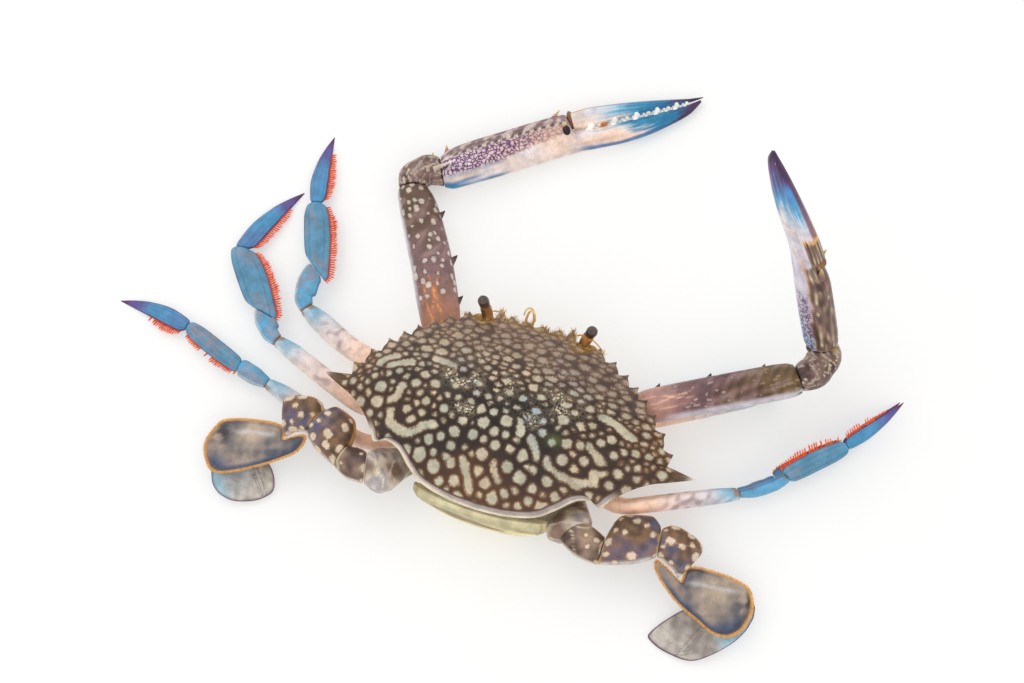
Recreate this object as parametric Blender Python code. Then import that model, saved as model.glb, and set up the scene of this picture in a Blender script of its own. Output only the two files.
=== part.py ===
"""Blue swimming crab (Portunus pelagicus), adult male, life size: the solids.

The crab faces -Y, its left side is +X, and it lies on the floor on its belly,
with the origin on the floor under the middle of the body. The left claw is
bent across the front, the right claw is raised, the left walking legs are
spread out, and the right ones are folded close, one above the other.

Sizes are in millimetres and MM turns them into metres. A heading is the angle
in plan from straight ahead towards the limb's own side of the body, and a
pitch is the angle above the floor, both in degrees.
"""

import random
from math import cos, pi, radians, sin

import bmesh
import bpy
import numpy as np

MM = 0.001
GAP = 0.3  # between two pieces that touch
SIDES = {"left": 1, "right": -1}
UP = np.array([0.0, 0.0, 1.0])

# Carapace
CENTRE = np.array([0.0, -3.0])  # the middle that its rings close on
APEX = 38.5  # highest point above the floor
UNDERSIDE = 11.15  # its flat underside, on top of the thorax
RIM_UP = 0.8  # the top of the rim above the margin's points
RIM_DOWN = 1.3
# The front of the left half: x, y, height and how far the tooth stands out
FRONT_MARGIN = (
    (0.0, -37.4, 27.0, 0.8),
    (3.0, -38.8, 26.8, 2.0),
    (6.2, -36.9, 27.0, 0.8),
    (9.6, -39.4, 26.6, 2.6),
    (12.0, -36.6, 26.8, 0.8),
    (14.3, -41.0, 26.4, 4.8),
    (16.4, -35.7, 26.6, 0.8),
    (20.6, -34.2, 26.5, 0.8),
    (24.2, -35.2, 26.0, 0.8),
)
# The toothed margin is an arc, and these are its teeth's angles on it
ARC_CENTRE = np.array([-5.8, 40.9])
ARC_RADIUS = 84.5
TOOTH_ANGLES = (22.5, 27.8, 32.4, 36.5, 40.6, 44.9, 50.3, 56.0)
TOOTH_LENGTH = 3.0
# A tooth from the tip before it: share of the spacing, share of its length left out, how far it
# stands out
TOOTH_PROFILE = (
    (0.14, 0.42, 1.2),
    (0.42, 0.66, 0.8),
    (0.62, 1.0, 0.8),
    (0.82, 0.6, 1.6),
    (1.0, 0.0, 3.4),
)
MARGIN_FRONT_Z = 25.5
MARGIN_SIDE_Z = 21.6
LATERAL_SPINE = (
    (63.3, -1.6, 21.2, 0.8),
    (75.0, 0.0, 20.0, 9.4),
    (66.4, 3.9, 21.4, 0.8),
)
REAR_MARGIN = (
    (59.3, 7.2, 22.8, 0.8),
    (52.6, 12.4, 24.6, 0.8),
    (47.9, 17.8, 26.0, 0.8),
    (45.0, 21.8, 26.8, 1.4),
    (41.2, 20.1, 26.8, 0.8),
    (35.4, 21.8, 26.2, 0.8),
    (29.2, 27.3, 26.0, 0.8),
    (22.4, 31.8, 25.0, 0.8),
    (11.5, 34.4, 24.2, 0.8),
    (0.0, 35.2, 24.0, 0.8),
)
TOP_RINGS = (0.97, 0.9, 0.78, 0.62, 0.42, 0.2)

# Thorax: the left half of its outline, each side a face that carries one limb
THORAX_TOP = 10.85
THORAX_SIDE = (
    (20.0, -25.8),
    (31.0, -13.2),
    (35.0, -3.5),
    (36.0, 6.0),
    (35.0, 15.5),
    (29.0, 25.2),
    (21.0, 33.8),
    (0.0, 34.6),
)
MOUTH_HALF_WIDTH = 12.5
MOUTH_Y = (-15.0, -31.0)  # the mouth's slope, at the floor and at the top
KEEL_INSET = 3.0
KEEL_HEIGHT = 2.2

# Abdomen: along its fold, y, height, half width and thickness
ABDOMEN = (
    (34.2, 19.5, 26.8, 3.4),
    (36.0, 17.2, 27.0, 3.6),
    (37.0, 13.4, 25.4, 3.4),
    (37.0, 8.4, 20.5, 3.2),
    (35.6, 3.9, 15.5, 2.4),
    (31.6, 1.1, 13.0, 1.9),
    (25.0, 0.85, 12.0, 1.7),
    (16.0, 0.85, 9.5, 1.7),
    (6.0, 0.85, 6.2, 1.7),
    (-6.0, 0.85, 3.8, 1.7),
    (-13.0, 0.85, 2.0, 1.7),
)
ABDOMEN_CURVE = 0.0042  # how its ends lie ahead of its middle: millimetres per width squared

# Tables of a limb piece: the share of its length, the half widths ahead and
# behind its axis, and the half thickness
CLAW_BASE = ((0, 5.6, 5.6, 3.9), (0.3, 6.0, 6.0, 4.2), (0.9, 6.2, 6.2, 4.4), (1, 5.8, 5.8, 4.2))
CLAW_MERUS = {
    "left": (
        (0, 5.8, 5.8, 4.2),
        (0.07, 7.4, 8.2, 4.7),
        (0.25, 8.4, 8.2, 5.4),
        (0.5, 9.0, 7.5, 5.7),
        (0.74, 8.5, 7.4, 5.7),
        (0.86, 7.8, 7.2, 5.6),
        (0.95, 6.7, 6.8, 5.2),
        (1, 5.4, 5.6, 4.6),
    ),
    "right": (
        (0, 5.8, 5.8, 4.2),
        (0.07, 6.6, 6.6, 4.7),
        (0.25, 6.9, 6.8, 5.4),
        (0.5, 7.0, 6.9, 5.7),
        (0.86, 6.9, 6.9, 5.6),
        (0.95, 6.5, 6.6, 5.2),
        (1, 5.4, 5.6, 4.6),
    ),
}
# The spines on the merus's inner edge: share of its length, and the tip's distance from its axis
MERUS_SPINES = {
    "left": ((0.17, 10.2), (0.44, 11.5), (0.75, 10.4)),
    "right": ((0.12, 8.2), (0.44, 8.4), (0.77, 8.0)),
}
CLAW_CARPUS = (
    (0, 5.4, 5.6, 4.6),
    (0.16, 5.6, 6.4, 5.8),
    (0.5, 4.6, 7.5, 6.6),
    (0.84, 5.2, 6.9, 6.0),
    (1, 6.0, 5.6, 5.0),
)
HAND_LENGTH = 106.0
FINGER_HINGE = 55.0
# Along the hand, in millimetres: the dactyl's side, the fixed finger's side, half thickness
PALM = (
    (0, 5.8, 6.6, 5.0),
    (4, 7.8, 8.2, 5.4),
    (16, 9.0, 8.2, 5.6),
    (30, 9.4, 7.8, 5.5),
    (42, 9.8, 7.3, 5.0),
    (52.5, 9.6, 7.0, 4.4),
    (54.5, 1.3, 7.0, 3.8),
    (62, 0.5, 7.6, 3.3),
    (72, 0.3, 8.2, 3.1),
    (82, 0.0, 7.7, 2.7),
    (92, -0.2, 6.0, 2.1),
    (100, 0.0, 3.9, 1.4),
    (106, 0.8, 0.2, 0.3),
)
# The same for the movable finger, whose two sides are both above the hand's axis
FINGER = (
    (54.8, 9.6, -2.2, 3.2),
    (60, 9.8, -1.9, 3.2),
    (72, 8.5, -1.7, 2.9),
    (84, 6.4, -1.4, 2.4),
    (95, 4.0, -1.2, 1.7),
    (102, 2.4, -1.1, 1.0),
    (107.2, 1.7, -1.4, 0.3),
)
HAND_TEETH = 9
SLIM_FROM = 45.0  # where a slimmer hand's movable finger begins to be narrower
LEG_MERUS = (
    (0, 3.4, 3.4, 3.1),
    (0.1, 3.8, 3.8, 2.9),
    (0.3, 3.7, 3.7, 2.8),
    (0.6, 4.3, 4.3, 2.8),
    (0.86, 4.2, 4.2, 2.6),
    (0.96, 3.3, 3.3, 2.2),
    (1, 2.7, 2.7, 1.9),
)
LEG_CARPUS = (
    (0, 2.7, 2.7, 1.9),
    (0.14, 3.3, 3.3, 2.2),
    (0.5, 4.8, 4.2, 2.5),
    (0.86, 4.9, 3.9, 2.2),
    (1, 3.8, 2.8, 1.8),
)
LEG_PROPODUS = (
    (0, 4.4, 2.6, 1.7),
    (0.08, 5.8, 3.8, 2.0),
    (0.4, 6.2, 4.6, 2.2),
    (0.76, 5.4, 5.0, 2.0),
    (0.94, 3.9, 4.1, 1.6),
    (1, 2.3, 2.6, 1.3),
)
LEG_DACTYL = (
    (0, 2.2, 2.4, 1.3),
    (0.08, 3.4, 3.3, 1.5),
    (0.35, 2.6, 4.8, 1.5),
    (0.6, 1.6, 4.1, 1.2),
    (0.82, 0.8, 2.3, 0.8),
    (1, 0.15, 0.15, 0.15),
)
SWIM_COXA = ((0, 4.4, 4.4, 3.6), (0.3, 5.2, 7.0, 4.6), (0.75, 6.0, 11.6, 6.0), (1, 4.8, 7.0, 4.8))
SWIM_ISCHIUM = ((0, 4.8, 7.0, 4.6), (0.4, 5.2, 7.6, 4.9), (1, 5.0, 5.2, 4.2))
SWIM_MERUS = (
    (0, 5.4, 4.8, 4.2),
    (0.16, 10.4, 5.4, 5.0),
    (0.5, 12.8, 5.8, 5.3),
    (0.84, 11.6, 5.0, 4.8),
    (1, 7.0, 4.0, 3.8),
)
SWIM_CARPUS = (
    (0, 6.4, 4.0, 3.8),
    (0.2, 9.4, 3.8, 4.4),
    (0.55, 11.2, 3.4, 4.5),
    (0.85, 10.4, 3.1, 3.6),
    (1, 8.4, 3.1, 2.2),
)
# Paddle outlines about their hinge: along the joint-to-joint line, then ahead of it
SWIM_PROPODUS = {
    "left": (
        (0.7, -4.2),
        (-3.3, -3.9),
        (-7.8, -3.8),
        (-8.1, -5.7),
        (-4.4, -9.3),
        (1.1, -10.9),
        (6.6, -12.1),
        (12.4, -12.9),
        (20.3, -13.7),
        (27.4, -13.6),
        (31.1, -11.9),
        (32.9, -8.3),
        (33.6, -4.1),
        (33.0, -0.8),
        (30.4, 2.6),
        (27.4, 5.4),
        (24.8, 6.3),
        (19.3, 6.0),
        (12.2, 4.7),
        (5.2, 2.8),
        (0.7, 0.3),
    ),
    "right": (
        (0.7, -3.9),
        (-4.1, -2.7),
        (-7.8, -1.5),
        (-10.7, -1.0),
        (-10.8, -2.4),
        (-7.6, -5.4),
        (-2.4, -8.5),
        (3.6, -11.2),
        (12.5, -13.4),
        (18.4, -14.9),
        (22.9, -14.4),
        (26.0, -12.3),
        (27.9, -8.7),
        (28.4, -3.3),
        (27.5, 0.4),
        (25.7, 3.3),
        (22.8, 5.4),
        (15.7, 5.7),
        (8.4, 4.6),
        (3.9, 3.6),
        (0.7, 1.5),
    ),
}
SWIM_PROPODUS_MIDDLE = (8.0, -7.5)
SWIM_DACTYL_MIDDLE = (14.0, 4.0)
SWIM_DACTYL = {
    "left": (
        (-4.6, 2.0),
        (-3.6, 6.4),
        (1.0, 9.6),
        (4.6, 12.0),
        (8.5, 15.4),
        (12.2, 16.7),
        (15.1, 16.6),
        (18.7, 15.6),
        (22.3, 13.1),
        (26.3, 8.8),
        (28.4, 4.2),
        (28.3, 1.4),
        (26.3, -1.2),
        (23.3, -3.4),
        (19.0, -4.9),
        (12.0, -5.4),
        (2.0, -3.6),
    ),
    "right": (
        (-1.6, -0.6),
        (-0.4, 4.0),
        (1.8, 6.2),
        (4.5, 8.2),
        (9.9, 10.4),
        (17.5, 11.7),
        (25.1, 11.7),
        (30.0, 9.7),
        (35.3, 4.7),
        (38.0, 1.1),
        (39.7, -2.9),
        (38.1, -4.5),
        (35.1, -5.6),
        (31.1, -6.6),
        (23.5, -7.7),
        (15.9, -7.0),
        (6.0, -4.6),
    ),
}
PADDLE_HALF_THICKNESS = 1.25
# A paddle's rings from its middle to its edge and back: size, and height in half thicknesses
PADDLE_PROFILE = (
    (0.25, 1.0),
    (0.7, 0.85),
    (0.93, 0.5),
    (1.0, 0.0),
    (0.93, -0.5),
    (0.7, -0.85),
    (0.25, -1.0),
)

# Mouth, eyes and feelers: tables like the limbs', and where the left ones run
MAXILLIPED = (
    (0, 4.2, 4.2, 0.9),
    (0.15, 5.4, 5.2, 1.1),
    (0.6, 5.4, 5.0, 1.1),
    (0.8, 4.6, 4.0, 1.0),
    (1, 2.6, 2.2, 0.8),
)
EYESTALK = ((0, 1.8, 1.8, 1.8), (0.4, 1.7, 1.7, 1.7), (0.8, 2.2, 2.2, 2.2), (1, 2.1, 2.1, 2.1))
CORNEA = (
    (0, 1.9, 1.9, 1.9),
    (0.2, 2.1, 2.1, 2.1),
    (0.5, 2.2, 2.2, 2.2),
    (0.8, 1.7, 1.7, 1.7),
    (1, 0.4, 0.4, 0.4),
)
EYE_ROOT = (16.8, -33.4, 19.4)
EYE_NECK = (20.9, -40.2, 27.4)
EYE_CROWN = (22.7, -42.8, 30.8)
ANTENNA = (
    (0, 1.5, 1.5, 1.5),
    (0.1, 1.2, 1.2, 1.2),
    (0.16, 0.5, 0.5, 0.5),
    (0.6, 0.35, 0.35, 0.35),
    (1, 0.26, 0.26, 0.26),
)
ANTENNA_PATH = (
    (11.8, -29.2, 15.9),
    (13.2, -40.2, 19.6),
    (16.6, -42.2, 18.6),
    (21.0, -41.6, 16.4),
    (25.5, -38.6, 14.8),
)
ANTENNULE = (
    (0, 0.9, 0.9, 0.9),
    (0.3, 0.75, 0.75, 0.75),
    (0.55, 0.5, 0.5, 0.5),
    (0.8, 0.4, 0.4, 0.4),
    (1, 0.26, 0.26, 0.26),
)
ANTENNULE_PATH = {
    "left": (
        (3.4, -30.1, 16.5),
        (5.6, -40.8, 21.5),
        (4.4, -44.0, 25.0),
        (2.0, -43.4, 25.8),
        (1.4, -40.6, 23.4),
    ),
    "right": (
        (-4.0, -29.9, 16.5),
        (-2.4, -41.8, 21.5),
        (-3.4, -45.0, 25.0),
        (-5.7, -44.4, 25.8),
        (-6.4, -41.8, 23.4),
    ),
}
FEELER_WIDE = (0.3, 0.2, 0.93)
FEELER_RINGS = 12

# Limbs, from the hip outwards: each step is a length, a heading and a pitch. A claw's flex is how
# far its fingers lean, per length, to the palm's face and to the movable finger's side, and
# carpus_spine is a spine's root and tip from the wrist: out of the bend, along the palm and up
CLAW_MERUS_LENGTH = 62.6
CLAWS = {
    "left": {
        "base": (15.4, 49.0, 11.0),
        "merus": (CLAW_MERUS_LENGTH, 30.7, -0.9),
        "carpus": (13.2, -41.0, -8.3),
        "carpus_spine": ((0.0, -2.4, 5.4), (0.0, 6.4, 8.6)),
        "palm": (HAND_LENGTH, -57.5, -2.3),
        "thumb_side": (0.54, -0.84, 0.0),
        "flex": (0.0, 0.0),
        "slim": 1.0,
    },
    "right": {
        "base": (19.3, 84.4, 17.1),
        "merus": (CLAW_MERUS_LENGTH, 64.9, 8.2),
        "carpus": (15.4, 17.2, 7.5),
        "carpus_spine": ((0.0, -6.4, 0.0), (10.0, -3.3, -0.4)),
        "palm": (HAND_LENGTH, -29.0, 67.0),
        "thumb_side": (-0.80, 0.49, 0.35),
        "flex": (-0.08, -0.075),
        "slim": 0.7,
    },
}
# Walking legs: the sizes of the four pieces, how much of the width behind their axes is kept, the
# edge that is fringed (1 ahead, -1 behind), the steps, how far the pieces are rolled about their
# axes, how far the wrist's plane is turned, and how far the fringe lies down along the leg
LEGS = {
    ("leg1", "left"): {
        "scales": (1.0, 1.0, 1.0, 1.0),
        "behind": (1.0, 1.0, 1.0, 1.0),
        "fringe": 1,
        "merus": ((38.0, 82.4, 1.2), (25.3, 64.4, 2.3)),
        "carpus": (16.9, 9.7, -3.4),
        "propodus": (28.8, 19.6, -6.0),
        "dactyl": (29.7, 7.2, -7.6),
        "rolls": (0, 0, 0, 0),
        "skew": 1.15,
        "lie": 0.0,
    },
    ("leg2", "left"): {
        "scales": (1.06, 1.06, 1.06, 1.06),
        "behind": (0.62, 0.66, 1.1, 1.0),
        "fringe": 1,
        "merus": ((22.7, 110.1, 2.0), (46.9, 68.4, 1.2)),
        "carpus": (14.7, 47.2, -3.9),
        "propodus": (29.5, 36.3, -5.8),
        "dactyl": (33.4, -27.1, -6.6),
        "rolls": (0, 0, 0, 0),
        "skew": 1.15,
        "lie": 0.0,
    },
    ("leg3", "left"): {
        "scales": (0.82, 0.8, 0.68, 0.96),
        "behind": (1.0, 1.0, 1.0, 1.0),
        "fringe": -1,
        "merus": ((18.7, 122.0, -3.7), (49.3, 75.4, 0.1)),
        "carpus": (13.8, 73.0, 0.0),
        "propodus": (28.5, 70.9, -3.4),
        "dactyl": (31.8, 84.7, -6.1),
        "rolls": (0, 0, 0, 0),
        "skew": 0.2,
        "lie": 0.0,
    },
    ("leg1", "right"): {
        "scales": (0.96, 0.96, 0.96, 0.96),
        "behind": (1.0, 1.0, 1.0, 1.0),
        "fringe": 1,
        "merus": ((19.6, 54.0, -6.0), (43.6, 61.2, 0.6)),
        "carpus": (9.6, -30.0, 0.0),
        "propodus": (28.8, -117.5, 0.0),
        "dactyl": (29.7, -119.0, -3.0),
        "rolls": (70, 66, 62, 62),
        "skew": 0.0,
        "lie": 0.9,
    },
    ("leg2", "right"): {
        "scales": (0.94, 0.86, 0.94, 0.94),
        "behind": (1.0, 1.0, 1.0, 1.0),
        "fringe": 1,
        "merus": ((17.9, 148.3, -9.0), (48.1, 66.6, 1.4)),
        "carpus": (15.5, 54.8, 0.0),
        "propodus": (28.4, 45.6, -1.6),
        "dactyl": (27.4, 33.5, -6.5),
        "rolls": (88, 75, 60, 60),
        "skew": 0.2,
        "lie": 0.9,
    },
    ("leg3", "right"): {
        "scales": (0.88, 0.74, 0.78, 0.8),
        "behind": (1.0, 0.76, 0.84, 0.74),
        "fringe": 1,
        "merus": ((15.7, 124.5, 25.6), (48.3, 66.9, 3.0)),
        "carpus": (18.7, 53.5, -4.6),
        "propodus": (25.4, 43.1, -5.6),
        "dactyl": (27.6, 33.3, -7.3),
        "rolls": (74, 64, 32, 25),
        "skew": 0.3,
        "lie": 0.0,
    },
}
HIP_Z = {"claw": 6.4, "leg1": 6.2, "leg2": 6.2, "leg3": 6.2, "swim": 6.5}
RIGHT_LEG3_HIP_Z = 7.5
SWIMMING_LEGS = {
    "left": (
        (21.7, 123.3, 35.2),
        (10.3, 84.3, -8.4),
        (17.7, 61.1, -4.9),
        (12.7, 109.8, -16.0),
        (26.5, 111.0, -9.8),
        -114.0,
    ),
    "right": (
        (17.8, 150.0, 44.7),
        (11.4, 110.7, -7.6),
        (21.2, 67.2, -4.1),
        (13.6, 117.0, -15.0),
        (26.5, 98.8, -10.0),
        -127.4,
    ),
}
PADDLE_DROP = {"left": 2.75, "right": 1.9}  # the folded dactyl's hinge below the propodus's
PADDLE_DACTYL_PITCH = -7.6

# Fringes of setae on the propodus and dactyl
TUFT_SPACING = 2.7
TUFT_LENGTH = 3.4
TUFT_WIDTH = 1.9
TUFT_THICKNESS = 0.8
FRINGE_SEED = 7

SHELL = ("shell", (0.16, 0.13, 0.10), 0.45)
CLAW = ("claw", (0.22, 0.16, 0.17), 0.4)
LEG = ("leg", (0.12, 0.32, 0.45), 0.42)
PADDLE = ("paddle", (0.25, 0.27, 0.27), 0.45)
BELLY = ("belly", (0.72, 0.68, 0.55), 0.5)
EYE = ("eye", (0.03, 0.015, 0.01), 0.15)
FEELER = ("feeler", (0.55, 0.36, 0.16), 0.5)


def clear_scene():
    for thing in list(bpy.data.objects):
        bpy.data.objects.remove(thing, do_unlink=True)


def unit(vector):
    vector = np.asarray(vector, float)
    return vector / np.linalg.norm(vector)


def direction(side, heading, pitch):
    flat = cos(radians(pitch))
    return np.array(
        [
            SIDES[side] * sin(radians(heading)) * flat,
            -cos(radians(heading)) * flat,
            sin(radians(pitch)),
        ]
    )


def step_from(point, side, step):
    length, heading, pitch = step
    return point + direction(side, heading, pitch) * length


def material_of(look):
    name, colour, roughness = look
    found = bpy.data.materials.get(name)
    if found:
        return found
    made = bpy.data.materials.new(name)
    made.use_nodes = True
    shader = made.node_tree.nodes["Principled BSDF"]
    shader.inputs["Base Color"].default_value = (*colour, 1.0)
    shader.inputs["Roughness"].default_value = roughness
    made.diffuse_color = (*colour, 1.0)
    return made


def add_mesh(name, points, faces, look):
    """A new object from points in millimetres, its faces turned outwards."""
    mesh = bpy.data.meshes.new(name)
    mesh.from_pydata([tuple(MM * value for value in p) for p in points], [], faces)
    shape = bmesh.new()
    shape.from_mesh(mesh)
    bmesh.ops.recalc_face_normals(shape, faces=shape.faces)
    shape.to_mesh(mesh)
    shape.free()
    mesh.materials.append(material_of(look))
    made = bpy.data.objects.new(name, mesh)
    bpy.context.scene.collection.objects.link(made)
    mesh.shade_smooth()
    mesh.set_sharp_from_angle(angle=radians(40))
    return made


def skin_rings(rings):
    """Points and faces of a closed skin over rings of equal count, capped by fans."""
    count = len(rings[0])
    points = [p for ring in rings for p in ring]
    faces = []
    for row in range(len(rings) - 1):
        for k in range(count):
            a = row * count + k
            b = row * count + (k + 1) % count
            faces.append((a, b, b + count))
            faces.append((a, b + count, a + count))
    for row in (0, len(rings) - 1):
        middle = len(points)
        points.append(np.mean(rings[row], axis=0))
        for k in range(count):
            faces.append((row * count + k, row * count + (k + 1) % count, middle))
    return points, faces


def polyline_at(points, distance):
    for a, b in zip(points[:-1], points[1:]):
        length = np.linalg.norm(b - a)
        if distance <= length:
            return a + (b - a) * (distance / length)
        distance -= length
    return points[-1] + unit(points[-1] - points[-2]) * distance


def path_at(points, share, rounding):
    """A point and direction at a share of a polyline whose corners are rounded."""
    total = sum(np.linalg.norm(b - a) for a, b in zip(points[:-1], points[1:]))
    at = share * total

    def smoothed(distance):
        reach = max(min(rounding, distance, total - distance), 0.0)
        spread = [distance + reach * k / 4 for k in range(-4, 5)]
        return np.mean([polyline_at(points, d) for d in spread], axis=0)

    ahead = smoothed(min(at + 0.3, total))
    behind = smoothed(max(at - 0.3, 0.0))
    return smoothed(at), unit(ahead - behind)


def slab_ring(centre, along, wide, lean, half, shift, thick, corners):
    """One ring of a limb, sheared along its axis onto the plane that lean faces."""
    thickness_way = unit(np.cross(wide, along))
    ring = []
    for k in range(corners):
        angle = 2 * pi * (k + 0.5) / corners
        offset = wide * (shift + half * cos(angle)) + thickness_way * thick * sin(angle)
        offset = offset - along * (offset @ lean) / (along @ lean)
        ring.append(centre + offset)
    return ring


def limb_rings(path, table, leans, wide_of, rounding=6.0, corners=10, scale=1.0):
    """Rings of a limb piece between two joint planes, leaving half a gap at each."""
    rings = []
    for share, ahead, behind, thick in table:
        centre, along = path_at(path, share, rounding)
        near_start = max(0.0, 1 - share / 0.4)
        near_end = max(0.0, 1 - (1 - share) / 0.4)
        lean = unit(along + (leans[0] - along) * near_start + (leans[1] - along) * near_end)
        if share == 0:
            centre = centre + along * (GAP / 2) / (along @ leans[0])
        if share == 1 and table[-1][1] > 0.5:
            centre = centre - along * (GAP / 2) / (along @ leans[1])
        wide = wide_of(along)
        half = (ahead + behind) / 2 * scale
        shift = (ahead - behind) / 2 * scale
        ring = slab_ring(centre, along, wide, lean, half, shift, thick * scale, corners)
        rings.append([np.array([p[0], p[1], max(p[2], 0.0)]) for p in ring])
    return rings


def rolled(side, roll):
    """The way to a limb's leading edge, from its axis and its roll in degrees."""

    def wide_of(along):
        flat = unit(np.cross(along, UP)) * SIDES[side]
        across = np.cross(flat, along) * SIDES[side]
        return flat * cos(radians(roll)) + across * sin(radians(roll))

    return wide_of


def towards(aim):
    """The way to a limb's leading edge, as near to a given direction as its axis allows."""

    def wide_of(along):
        return unit(aim - along * (aim @ along))

    return wide_of


def mitre(*directions):
    return unit(np.sum(directions, axis=0))


def elbow(start, end, arriving, leaving):
    """The outer corner of a bent piece between two straight ones."""
    reach = 0.6 * np.linalg.norm(end - start)
    return ((start + arriving * reach) + (end - leaving * reach)) / 2


def spike(base, tip, radius, flat_way=None, flatness=1.0, corners=5):
    """Points and faces of a cone, flattened along flat_way."""
    along = unit(tip - base)
    first = unit(np.cross(along, UP if flat_way is None else flat_way))
    second = np.cross(along, first)
    ring = [
        base
        + first * radius * cos(2 * pi * k / corners)
        + second * radius * flatness * sin(2 * pi * k / corners)
        for k in range(corners)
    ]
    points = [*ring, tip, base]
    faces = [(k, (k + 1) % corners, corners) for k in range(corners)]
    faces += [((k + 1) % corners, k, corners + 1) for k in range(corners)]
    return points, faces


def keep_largest(thing):
    """Drops every closed surface of a mesh but the one that encloses most."""
    shape = bmesh.new()
    shape.from_mesh(thing.data)
    left = set(shape.faces)
    groups = []
    while left:
        group = set()
        front = [left.pop()]
        while front:
            face = front.pop()
            group.add(face)
            for edge in face.edges:
                for other in edge.link_faces:
                    if other in left:
                        left.remove(other)
                        front.append(other)
        groups.append(group)
    groups.sort(key=lambda group: sum(face.calc_area() for face in group))
    for group in groups[:-1]:
        bmesh.ops.delete(shape, geom=list(group), context="FACES")
    loose = [v for v in shape.verts if not v.link_faces]
    bmesh.ops.delete(shape, geom=loose, context="VERTS")
    bmesh.ops.triangulate(shape, faces=shape.faces)
    shape.to_mesh(thing.data)
    shape.free()


def combine(thing, pieces, operation="UNION", solver="EXACT"):
    """Joins closed pieces to an object, or cuts them from it, in one Boolean."""
    helpers = bpy.data.collections.new("helpers")
    bpy.context.scene.collection.children.link(helpers)
    for number, (points, faces) in enumerate(pieces):
        helper = add_mesh(f"helper_{number}", points, faces, BELLY)
        bpy.context.scene.collection.objects.unlink(helper)
        helpers.objects.link(helper)
    boolean = thing.modifiers.new("join", "BOOLEAN")
    boolean.operation = operation
    boolean.solver = solver
    boolean.operand_type = "COLLECTION"
    boolean.collection = helpers
    graph = bpy.context.evaluated_depsgraph_get()
    graph.update()
    joined = bpy.data.meshes.new_from_object(thing.evaluated_get(graph))
    thing.modifiers.clear()
    thing.data = joined
    for helper in list(helpers.objects):
        bpy.data.objects.remove(helper, do_unlink=True)
    bpy.data.collections.remove(helpers)
    keep_largest(thing)


def margin_half():
    """The left half of the carapace's margin, from the front round to the rear."""
    points = [list(p) for p in FRONT_MARGIN]
    spread = TOOTH_ANGLES[-1] - TOOTH_ANGLES[0]
    last = None
    for angle in TOOTH_ANGLES:
        for along, short, stands in TOOTH_PROFILE if last else TOOTH_PROFILE[-1:]:
            at = angle if last is None else last + (angle - last) * along
            radius = ARC_RADIUS - TOOTH_LENGTH * short
            share = (at - TOOTH_ANGLES[0]) / spread
            x, y = ARC_CENTRE + radius * np.array([sin(radians(at)), -cos(radians(at))])
            z = MARGIN_FRONT_Z + (MARGIN_SIDE_Z - MARGIN_FRONT_Z) * share
            points.append([x, y, z, stands])
        last = angle
    points += [list(p) for p in LATERAL_SPINE]
    points += [list(p) for p in REAR_MARGIN]
    return points


def make_carapace():
    half = margin_half()
    margin = half + [[-x, y, z, stands] for x, y, z, stands in half[-2:0:-1]]
    rings = []
    inner = []
    for x, y, z, stands in margin:
        out = np.array([x, y]) - CENTRE
        inner.append((*(CENTRE + out * (1 - stands / np.linalg.norm(out))), z))
    for share in reversed(TOP_RINGS):
        ring = []
        for x, y, z in inner:
            plan = CENTRE + (np.array([x, y]) - CENTRE) * share
            rise = (APEX - z - RIM_UP) * (1 - share**2.3) ** 0.9
            ring.append(np.array([*plan, z + RIM_UP + rise]))
        rings.append(ring)
    rings.append([np.array([x, y, z + RIM_UP]) for x, y, z in inner])
    rings.append([np.array([x, y, z]) for x, y, z, _ in margin])
    rings.append([np.array([x, y, z - RIM_DOWN]) for x, y, z in inner])
    lip = []
    flat = []
    for x, y, z in inner:
        out = np.array([x, y]) - CENTRE
        way = unit(out)
        share = 0.45 + 0.2 * max(0.0, -way[1]) ** 2 + 0.42 * max(0.0, way[1]) ** 1.5
        lip.append(np.array([*(CENTRE + out * 0.93), z - 2.8]))
        flat.append(np.array([*(CENTRE + out * share), UNDERSIDE]))
    rings += [lip, flat]
    points, faces = skin_rings(rings)
    points[-2] = np.array([*CENTRE, APEX])
    add_mesh("carapace", points, faces, SHELL)


def abdomen_skin(grow=0.0):
    """The abdomen's folded plate, grown on every side by a clearance."""
    outline = ((1, 0), (0.93, 1), (0.5, 1), (-0.5, 1), (-0.93, 1))
    outline += tuple((-x, -z) for x, z in outline)
    rings = []
    for k, (level_y, level_z, half, thick) in enumerate(ABDOMEN):
        before = ABDOMEN[max(k - 1, 0)]
        after = ABDOMEN[min(k + 1, len(ABDOMEN) - 1)]
        along = unit((after[0] - before[0], after[1] - before[1]))
        centre = np.array([level_y, level_z])
        if k == 0:
            centre = centre - along * grow
        if k == len(ABDOMEN) - 1:
            centre = centre + along * grow
        out = np.array([-along[1], along[0]])
        ring = []
        for across, depth in outline:
            y, z = centre + out * depth * (thick / 2 + grow)
            x = across * (half + grow)
            ring.append(np.array([x, y - ABDOMEN_CURVE * x**2, z]))
        rings.append(ring)
    return skin_rings(rings)


def thorax_outline(level_y, inset):
    """The thorax's outline at one level, pulled in towards the midline."""
    middle = np.array([0.0, 4.0])
    half = [np.array([MOUTH_HALF_WIDTH, level_y])]
    for x, y in THORAX_SIDE[:-1]:
        out = np.array([x, y]) - middle
        half.append(middle + out * (1 - inset / np.linalg.norm(out)))
    rear = np.array([0.0, THORAX_SIDE[-1][1] - inset])
    front = np.array([0.0, level_y])
    mirrored = [np.array([-x, y]) for x, y in reversed(half)]
    return [front, *half, rear, *mirrored]


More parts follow.
